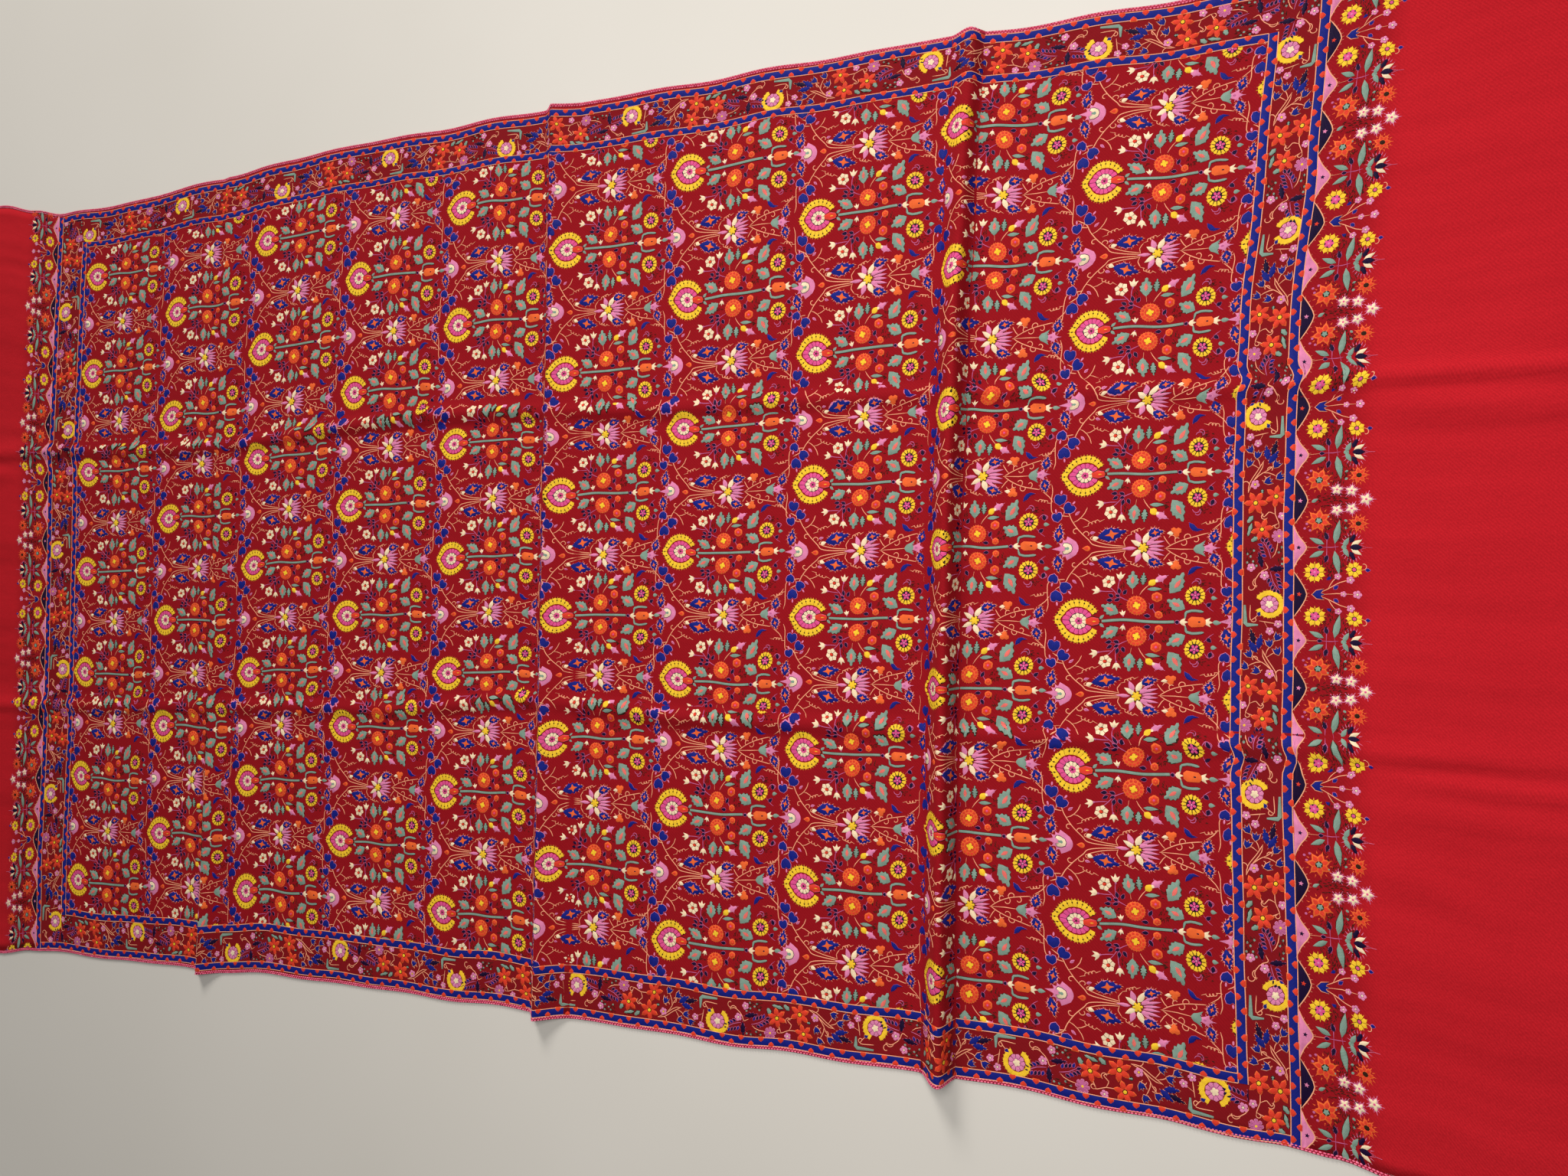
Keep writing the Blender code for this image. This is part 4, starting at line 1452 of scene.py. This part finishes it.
def cream_star(s, at, turn, rim, body, hair, eye):
    """A cream star with a pink eye on a hairy rose one, each by its outer and inner radius."""
    outer, inner = rim
    s.patch("rose", petals(outer, inner, 5, 0.6), at, turn)
    s.spikes("rose", petals(outer - 0.4, inner, 5, 0.5), at, turn, length=hair)
    s.patch("cream", petals(*body, 5, 0.6), at, turn, 1, 0.5)
    s.patch("pink", oval(eye, eye, 6), at, 0, 2)


def draw_tooth_orange():
    """A navy triangle with orange spiky flowers and cream stars above it."""
    s = Stitches()
    tooth(s, "navy", "rose")
    for _ in s.both_sides():
        spiky_flower(s, (19.0, 17.0), 18.6, turn=20)
        spiky_flower(s, (49.5, 20.0), 13.0, eye="olive")
        for at in ((33.2, 8.6), (44.4, 7.4)):
            cream_star(s, at, 12, (6.4, 3.4), (4.5, 2.0), 1.2, 2.8)
        for at in ((8.0, 23.5), (12.2, 25.2), (9.6, 19.6)):
            s.patch("mauve", oval(2.7, 2.5, 6), at)
        for at in ((26.0, 13.4), (40.0, 17.4), (40.0, 23.6)):
            s.patch("green", oval(3.2, 2.4, 7), at, 30)
    cream_star(s, (55.4, 0.0), 0, (7.0, 3.6), (5.0, 2.2), 1.4, 3.0)
    s.patch("green", leaf(6.4, 3.2), (16.0, 0.0), 30, 0, 0.6)
    ground_patch(s, (30.0, 0.0), 0, 28.0, 11.0)
    for way in (1, -1):
        ground_patch(s, (35.0, 18.0 * way), 60 * way, 16.0, 9.0)
    return s


def draw_tooth_yellow():
    """A navy triangle with yellow spiky flowers and a blue tulip above it."""
    s = Stitches()
    tooth(s, "navy", "coral")
    large, small = (16.6, 18.6), (46.6, 20.4)
    for _ in s.both_sides():
        s.spikes("yellow", oval(15.2, 15.2, 16), large, width=1.0)
        s.patch("olive", oval(13.2, 13.2, 10), large)
        s.blocks("yellow", steady(7.6), steady(3.7), 8, large, level=1, bulge=0.9)
        s.patch("navy", oval(8.0, 8.0, 9), large, 0, 1)
        s.patch("pink", petals(4.0, 2.2, 5, 0.2), large, 0, 2)
        s.patch("rose", oval(2.4, 2.4, 6), large, 0, 3)
        s.spikes("yellow", oval(11.0, 11.0, 12), small, width=0.9)
        s.patch("olive", oval(9.2, 9.2, 9), small)
        s.blocks("yellow", steady(5.7), steady(2.0), 7, small, level=1, bulge=0.7)
        s.patch("pink", oval(3.0, 3.0, 6), small, 0, 2)
        s.lines("salmon", TULIP_VINES)
        pink_flower(s, (43.8, 11.8), 6.4)
        pink_flower(s, (34.4, 14.6), 5.6)
        eyed_leaf(s, (56.8, 20.6), 0, 3.4, 2.4, eye="blue")
        eyed_leaf(s, (33.0, 5.6), 40, 4.2, 2.6, eye="blue")
        s.patch("blue", drop(5.0, 3.4), (27.4, 13.0), 210)
    blue_tulip(s, (19.4, 0.0), 0, 9.0)
    s.line("salmon", [(24.0, 0.0), (34.0, 0.4), (46.0, 0.0)], 0.8)
    pink_flower(s, (49.0, 0.0), 7.0)
    pink_flower(s, (38.6, 0.0), 5.0)
    for way in (1, -1):
        ground_patch(s, (31.0, 18.0 * way), 70 * way, 14.0, 9.0)
    return s


# Where the embroidery lies on the flat layout, in metres
PITCH = 0.1472
COLUMNS = 10
ROW_SPACING = 0.134
FAR = 9.0
WHOLE = (-FAR, FAR, -FAR, FAR)
MOTIF_REACH = 0.055
WINDOW_INSET, END_INSET = 0.0004, 0.0006
SLIVER = 1e-11

# How stamps of a motif differ, as hand work does, in degrees, share of size and millimetres
HAND = np.random.default_rng(11)
HAND_TURN, HAND_SIZE, HAND_SHIFT, HAND_WANDER = 0.7, 0.012, 0.6, 0.55
STRIPE_LOOSE, BAND_LOOSE, END_LOOSE = 0.35, 0.6, 0.35

# Satin strips wander by a slow and a quick wave, each by its size and its length in metres
STRIP_WAVES = ((0.25 * MM, 0.037), (0.20 * MM, 0.013))
STRIP_PHASE = 40
STRIP_STEP, NARROW_STRIP = 0.0034, 0.002


def directions(start, end):
    """The length between two points, and the directions along and across."""
    run = np.subtract(end, start)
    length = np.linalg.norm(run)
    along = run / length
    return length, along, np.array([-along[1], along[0]])


class Layout:
    """All the stitches on the flat cloth, kept apart by thread."""

    def __init__(self):
        self.points = {thread: [] for thread in THREADS}
        self.faces = {thread: [] for thread in THREADS}
        self.grains = {thread: [] for thread in THREADS}
        self.counts = dict.fromkeys(THREADS, 0)

    def add(self, thread, uv, up, faces, grain, window=WHOLE):
        """Keeps what lies inside a window, drawn in to its edge."""
        u0, u1, v0, v1 = window
        u, v = uv[:, 0], uv[:, 1]
        outside = np.stack([u < u0, u > u1, v < v0, v > v1])
        keep = ~outside[:, faces].all(axis=2).any(axis=0)
        faces = faces[keep]
        if not len(faces):
            return
        uv = np.stack([np.clip(u, u0, u1), np.clip(v, v0, v1)], -1)
        corners = uv[faces]
        first, second = corners[:, 1] - corners[:, 0], corners[:, 2] - corners[:, 0]
        area = first[:, 0] * second[:, 1] - first[:, 1] * second[:, 0]
        faces = np.where(area[:, None] < 0, faces[:, ::-1], faces)
        faces = faces[np.abs(area) > SLIVER]
        used, where = np.unique(faces, return_inverse=True)
        if not len(used):
            return
        self.points[thread].append(np.column_stack([uv[used], up[used]]))
        self.grains[thread].append(grain[used])
        self.faces[thread].append(where.reshape(-1, 3) + self.counts[thread])
        self.counts[thread] += len(used)

    def stamp(self, stitches, at, along=(1.0, 0.0), flip=1, stretch=(1.0, 1.0), window=WHOLE,
              loose=1.0):
        """A drawn motif, with a slightly different hand each time."""
        turn = math.radians(HAND.normal(0.0, HAND_TURN) * loose)
        size = 1.0 + HAND.normal(0.0, HAND_SIZE) * loose
        shift = HAND.normal(0.0, HAND_SHIFT, 2) * loose
        waves_a = HAND.uniform(0.0, 2 * math.pi, 2)
        waves_b = HAND.uniform(0.0, 2 * math.pi, 2)
        wander = loose * HAND_WANDER
        across = (-along[1], along[0])
        axes = np.array([along, across])
        c, s = math.cos(turn), math.sin(turn)
        for thread, parts in stitches.parts.items():
            if not parts:
                continue
            points = np.concatenate([p for p, _, _ in parts])
            starts = np.cumsum([0] + [len(p) for p, _, _ in parts[:-1]])
            faces = np.concatenate([f + start for (_, f, _), start in zip(parts, starts)])
            grain = np.concatenate([g for _, _, g in parts])
            a, b = points[:, 0] * stretch[0], points[:, 1] * stretch[1] * flip
            a = a + wander * (np.sin(b / 9.0 + waves_a[0]) + np.sin(a / 13.0 + waves_a[1]))
            b = b + wander * (np.sin(a / 10.0 + waves_b[0]) + np.sin(b / 14.0 + waves_b[1]))
            flat = size * np.stack([c * a - s * b, s * a + c * b], -1) + shift
            uv = flat @ axes * MM + at
            self.add(thread, uv, points[:, 2] * MM, faces, grain, window)

    def strip(self, thread, start, end, width, level=0, step=STRIP_STEP):
        """A flat band of satin from one point to another."""
        length, along, across = directions(start, end)
        n = max(2, int(length / step) + 1)
        run = np.linspace(0.0, length, n)
        (slow, slow_length), (quick, quick_length) = STRIP_WAVES
        wander = slow * np.sin(run / slow_length + start[0] * STRIP_PHASE)
        wander += quick * np.sin(run / quick_length)
        base, top = BASES[level], LEVELS[level]
        rows = [(-0.5, base), (-0.42, 0.85 * top), (0.42, 0.85 * top), (0.5, base)]
        if width < NARROW_STRIP:
            rows = [(-0.5, base), (0.0, top), (0.5, base)]
        middle = start + run[:, None] * along + wander[:, None] * across
        uv = np.concatenate([middle + across * width * share for share, _ in rows])
        up = np.repeat([h for _, h in rows], n) * MM
        grain = np.column_stack([np.tile(run / MM, len(rows)), np.repeat([s for s, _ in rows], n)])
        self.add(thread, uv, up, row_faces(len(rows), n), grain)


def draw_scallop():
    """One coral half flower of a stripe, opening towards +b, with its orange rim."""
    s = Stitches()
    edge = np.array([
        (-2.7, -0.4), (-3.3, 1.8), (-1.6, 3.6), (0.2, 4.7), (1.7, 3.5), (3.3, 1.9), (2.8, -0.4),
    ])
    s.patch("orange", (edge - (0.0, 1.8)) * 1.12, (0.0, 1.7), 0, 1)
    s.patch("coral", (edge - (0.0, 1.8)) * 0.84, (0.0, 1.6), 0, 2, 0.8)
    return s


def draw_stripe(layout, scallop, start, end):
    """A blue stripe with coral half flowers that grow from both of its sides in turn."""
    length, along, across = directions(start, end)
    layout.strip("blue", start, end, STRIPE_WIDTH)
    for way in (1, -1):
        offset = across * way * STRIPE_WIDTH / 2
        layout.strip("salmon", start + offset, end + offset, STRIPE_RIM, 1, STRIPE_RIM_STEP)
    count = int(round(length / STRIPE_STEP)) * 2
    for k in range(count):
        way = 1 if k % 2 else -1
        at = start + along * (k + 0.5) * length / count - across * way * STRIPE_WIDTH / 2
        layout.stamp(scallop, at, tuple(along), flip=way, loose=STRIPE_LOOSE)


def draw_stripes(layout):
    scallop = draw_scallop()
    for u0, u1, v0, v1 in zip(LEFT, RIGHT, FRONT, BACK):
        draw_stripe(layout, scallop, (u0 + HALF, v0), (u1 - HALF, v0))
        draw_stripe(layout, scallop, (u1, v0 - HALF), (u1, v1 + HALF))
        draw_stripe(layout, scallop, (u1 - HALF, v1), (u0 + HALF, v1))
        draw_stripe(layout, scallop, (u0, v1 + HALF), (u0, v0 - HALF))


def draw_field(layout):
    """The trees in their offset columns, with the second motif and the thin vines between."""
    tree, second, vine = draw_tree(), draw_second(), draw_column_vine()
    left, right, front, back = FIELD
    window = (left + WINDOW_INSET, right - WINDOW_INSET, front + WINDOW_INSET, back - WINDOW_INSET)
    for k in range(-1, COLUMNS):
        u = -PITCH * k
        shift = 0.5 * (k % 2)
        for row in range(-4, 6):
            for motif, offset in ((tree, shift), (vine, shift), (second, shift + 0.5)):
                v = ROW_SPACING * (row + offset)
                if front - MOTIF_REACH < v < back + MOTIF_REACH:
                    layout.stamp(motif, (u, v), window=window)


END_REPEATS, SIDE_REPEATS = 6, 9
BandRun = namedtuple("BandRun", "u v along length repeats start window")


def draw_bands(layout):
    """The flower band round the field, mirrored at each repeat."""
    band = draw_band()
    u_in = (LEFT.inner - HALF, RIGHT.inner + HALF)
    u_out = (LEFT.outer + HALF, RIGHT.outer - HALF)
    v_in = (FRONT.inner - HALF, BACK.inner + HALF)
    v_out = (FRONT.outer + HALF, BACK.outer - HALF)
    ends, sides = v_out[1] - v_out[0], u_in[1] - u_in[0]
    middle_u = ((u_in[0] + u_out[0]) / 2, (u_in[1] + u_out[1]) / 2)
    middle_v = ((v_in[0] + v_out[0]) / 2, (v_in[1] + v_out[1]) / 2)
    runs = [
        BandRun(middle_u[1], v_out[1], (0.0, -1.0), ends, END_REPEATS, 0.053,
                (u_in[1], u_out[1], v_out[0], v_out[1])),
        BandRun(middle_u[0], v_out[0], (0.0, 1.0), ends, END_REPEATS, 0.028,
                (u_out[0], u_in[0], v_out[0], v_out[1])),
        BandRun(u_in[1], middle_v[0], (-1.0, 0.0), sides, SIDE_REPEATS, 0.026,
                (u_in[0], u_in[1], v_out[0], v_in[0])),
        BandRun(u_in[0], middle_v[1], (1.0, 0.0), sides, SIDE_REPEATS, 0.013,
                (u_in[0], u_in[1], v_in[1], v_out[1])),
    ]
    for run in runs:
        u0, u1, v0, v1 = run.window
        width = u1 - u0 if run.along[0] == 0.0 else v1 - v0
        stretch = (run.length / run.repeats / MM / BAND_REPEAT, width / MM / BAND_BREADTH)
        for k in range(-1, run.repeats + 1):
            share = k * run.length / run.repeats + run.start
            at = (run.u + run.along[0] * share, run.v + run.along[1] * share)
            layout.stamp(band, at, run.along, 1 if k % 2 else -1, stretch, run.window, BAND_LOOSE)


def draw_end_rows(layout):
    """The triangles and the loose flower row outside the outer stripe at each end."""
    motifs = [draw_tooth_pink(), draw_tooth_orange(), draw_tooth_pink(), draw_tooth_yellow()]
    first, last = V_FRONT + EDGING_WIDTH, V_BACK - EDGING_WIDTH
    count = int((last - first) / MM / TOOTH_BASE)
    pitch = (last - first) / count
    window = (-FAR, FAR, first + END_INSET, last - END_INSET)
    ends = ((RIGHT.outer + HALF, (1.0, 0.0), -0.008), (LEFT.outer - HALF, (-1.0, 0.0), 0.0))
    for u, along, shift in ends:
        for k in range(-1, count + 1):
            motif = motifs[k % 4]
            stretch = pitch / MM / TOOTH_BASE
            v = first + (k + 0.5) * pitch + shift
            layout.stamp(motif, (u, v), along, 1, (1.0, stretch), window, END_LOOSE)


# Stitched edgings: a flat cord along each selvedge with two rows of bead stitches on it
CORD_TOP, CORD_STEP = 0.0012, 0.010
BEAD_PITCH = 0.0031
BEAD_ROWS = (0.00082, 0.00278)
BEAD_BASE, BEAD_TOP = 0.0010, 0.0021
BEAD_LENGTH, BEAD_BREADTH = 0.0014, 0.00078
BEAD_STRAY, BEAD_UNEVEN = 0.00012, 0.07
BEAD_SHAPE = np.array([  # six points round its foot and two on top
    (-1.0, 0.0), (-0.6, 1.0), (0.6, 1.0), (1.0, 0.0), (0.6, -1.0), (-0.6, -1.0), (-0.45, 0.0),
    (0.45, 0.0),
])
BEAD_NET = np.array([
    (5, 6, 0), (0, 6, 1), (1, 6, 7), (1, 7, 2), (2, 7, 3), (3, 7, 4), (4, 7, 6), (4, 6, 5),
])


def thread_material(thread):
    """Satin stitches: close parallel threads with painted shade in the gaps between them, and a
    little wear.
    """
    n = Nodes(f"{thread}_thread", 0.6, 0.10)
    colour = THREADS[thread]
    wave = n.bands(n.layout("grain"), 0.40, 1.2, 1.0, "X")
    spot = n.spot()
    mottle, broad = n.noise(spot, 160.0), n.noise(spot, 9.0, 1.0)
    dark = tuple(c * 0.48 for c in colour[:3]) + (1.0,)
    light = tuple(min(1.0, c * 1.12) for c in colour[:3]) + (1.0,)
    # Between the thread bands the tone stays darker: painted shade in the gaps between the threads
    tone = n.tint(n.mix(mottle, dark, light), wave, 0.55, colour)
    n.link(n.tint(tone, broad, 0.15, dark), "Base Color")
    n.bump(n.maths("ADD", n.times(wave, 0.00016), n.times(mottle, 0.00025)), 0.7)
    return n.material


def build_embroidery():
    materials = {thread: thread_material(thread) for thread in THREADS}
    areas = {"field": [draw_field], "border": [draw_stripes, draw_bands, draw_end_rows]}
    pieces = []
    for area, steps in areas.items():
        layout = Layout()
        for step in steps:
            step(layout)
        for thread, material in materials.items():
            if not layout.faces[thread]:
                continue
            parts = [layout.points[thread], layout.grains[thread], layout.faces[thread]]
            flat, grain, faces = refined(*[np.concatenate(part) for part in parts])
            points = place(flat[:, 0], flat[:, 1], flat[:, 2])
            piece = make_object(f"{area}_{thread}_stitches", points, faces, material)
            set_layout(piece, "grain", grain)
            pieces.append(piece)
    return pieces


stitches = build_embroidery()


def cord_mesh(edge, inwards):
    """The closed flat cord of an edging."""
    x = spread(LEFT_END, RIGHT_END, CORD_STEP, FOLD_CENTRES, COLUMN_STEP_FINE, FOLD_REACH)
    y = edge(x)
    inner = y + inwards * EDGING_WIDTH
    corners = [(y, UNDERSIDE_LIFT), (y, CORD_TOP), (inner, CORD_TOP), (inner, UNDERSIDE_LIFT)]
    points = np.concatenate([surface(x, line, up) for line, up in corners])
    n = len(x)
    faces = [row_faces(5, n) % (4 * n)]
    for end, order in ((0, (0, 1, 2, 3)), (n - 1, (3, 2, 1, 0))):
        a, b, c, d = (side * n + end for side in order)
        faces.append(np.array([[a, b, c], [a, c, d]]))
    faces = np.concatenate(faces)
    return points, faces if inwards > 0 else faces[:, ::-1]


def bead_mesh(edge, inwards):
    """Two rows of bead stitches, each a small dome that is longer than wide."""
    x = np.arange(LEFT_END, RIGHT_END, TABLE_STEP_X)
    y = edge(x)
    z = height(x, y)
    run = np.concatenate([[0.0], np.cumsum(np.hypot(np.hypot(np.diff(x), np.diff(y)), np.diff(z)))])
    up = np.array([BEAD_BASE] * 6 + [BEAD_TOP] * 2)
    points, faces, total = [], [], 0
    for row, offset in enumerate(BEAD_ROWS):
        starts = np.arange(BEAD_PITCH * (0.5 + 0.5 * row), run[-1] - BEAD_PITCH / 2, BEAD_PITCH)
        starts = starts + HAND.normal(0.0, BEAD_STRAY, len(starts))
        size = 1.0 + HAND.normal(0.0, BEAD_UNEVEN, len(starts))
        along = starts[:, None] + BEAD_SHAPE[:, 0] * BEAD_LENGTH * size[:, None]
        across = offset + BEAD_SHAPE[:, 1] * BEAD_BREADTH * size[:, None]
        at = np.interp(along, run, x)
        lift = np.broadcast_to(up, at.shape)
        points.append(surface(at, edge(at) + inwards * across, lift).reshape(-1, 3))
        count = len(starts)
        faces.append((BEAD_NET[None] + 8 * np.arange(count)[:, None, None]).reshape(-1, 3) + total)
        total += 8 * count
    faces = np.concatenate(faces)
    return np.concatenate(points), faces if inwards > 0 else faces[:, ::-1]


def cord_material():
    """Close crimson stitches under the beads."""
    n = Nodes("edging_cord", 0.8, 0.25)
    wraps = n.noise(n.stretched(n.spot(), 900.0, 120.0, 300.0), 1.0)
    n.link(n.mix(wraps, srgb(120, 8, 34), srgb(176, 22, 52)), "Base Color")
    n.bump(n.times(wraps, 0.0003))
    return n.material


def bead_material():
    """Pink bead stitches, each a little lighter or darker."""
    n = Nodes("edging_beads", 0.5, 0.35)
    tone = n.noise(n.spot(), 240.0, 1.0)
    n.link(n.mix(tone, srgb(190, 40, 92), srgb(250, 132, 158)), "Base Color")
    return n.material


def build_edgings():
    pieces = []
    cord, beads = cord_material(), bead_material()
    for side, edge, inwards in (("front", front_edge, 1), ("back", back_edge, -1)):
        node = f"{side}_selvedge_edging"
        for name, mesh, material in (("cord", cord_mesh, cord), ("beads", bead_mesh, beads)):
            points, faces = mesh(edge, inwards)
            title = f"{side}_edging_{name}"
            piece = make_object(title, points, faces, material, name == "beads")
            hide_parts(node)
            pieces.append(piece)
    return pieces


edgings = build_edgings()


# Floor, light and camera
FLOOR_SIZE, FLOOR_DROP = 6.0, 0.0002


def build_floor():
    bpy.ops.mesh.primitive_plane_add(size=FLOOR_SIZE, location=(0.0, 0.0, -FLOOR_DROP))
    floor = bpy.context.object
    floor.name = "floor"
    n = Nodes("pale_floor", 0.7)
    n.link(n.mix(n.noise(n.spot(), 3.0), srgb(196, 190, 180), srgb(204, 198, 189)), "Base Color")
    floor.data.materials.append(n.material)


def add_light(name, location, target, size, power, colour):
    lamp = bpy.data.lights.new(name, "AREA")
    lamp.shape = "SQUARE"
    lamp.size = size
    lamp.energy = power
    lamp.color = colour
    holder = bpy.data.objects.new(name, lamp)
    bpy.context.scene.collection.objects.link(holder)
    holder.location = location
    holder.rotation_mode = "QUATERNION"
    holder.rotation_quaternion = (Vector(target) - Vector(location)).to_track_quat("-Z", "Y")


FOCAL_PIXELS = 1500.0
PHOTO_WIDTH = 2048.0
SENSOR = 36.0
CAMERA_PLACE = (0.10578, -0.03110, 1.07358)
CAMERA_RIGHT = (0.92999, 0.01406, -0.36732)
CAMERA_UP = (0.00635, 0.99851, 0.05429)
CAMERA_BACK = (0.36754, -0.05282, 0.92851)


def build_camera():
    data = bpy.data.cameras.new("camera")
    data.sensor_width = SENSOR
    data.lens = FOCAL_PIXELS * SENSOR / PHOTO_WIDTH
    data.clip_start = 0.01
    data.clip_end = 20.0
    camera = bpy.data.objects.new("camera", data)
    bpy.context.scene.collection.objects.link(camera)
    turn = Matrix((CAMERA_RIGHT, CAMERA_UP, CAMERA_BACK)).transposed()
    camera.rotation_mode = "QUATERNION"
    camera.rotation_quaternion = turn.to_quaternion()
    camera.location = np.array(CAMERA_PLACE) + SHIFT
    bpy.context.scene.camera = camera


SKY_COLOUR, SKY_STRENGTH = (0.96, 0.98, 1.0, 1.0), 0.20
LIGHTS = [  # name, place, target, size, power, colour
    ("window_light", (-0.9, 4.2, 2.3), (0.15, 0.0, 0.0), 1.5, 223.0, (1.0, 0.99, 0.97)),
    ("near_light", (0.66, 0.15, 1.40), (0.54, 0.1, 0.0), 0.9, 17.8, (1.0, 0.99, 0.98)),
]


def build_light():
    world = bpy.data.worlds.new("studio")
    world.use_nodes = True
    background = world.node_tree.nodes["Background"]
    background.inputs["Color"].default_value = SKY_COLOUR
    background.inputs["Strength"].default_value = SKY_STRENGTH
    bpy.context.scene.world = world
    for row in LIGHTS:
        add_light(*row)
    bpy.context.scene.view_settings.view_transform = "Standard"


build_floor()
build_camera()
build_light()
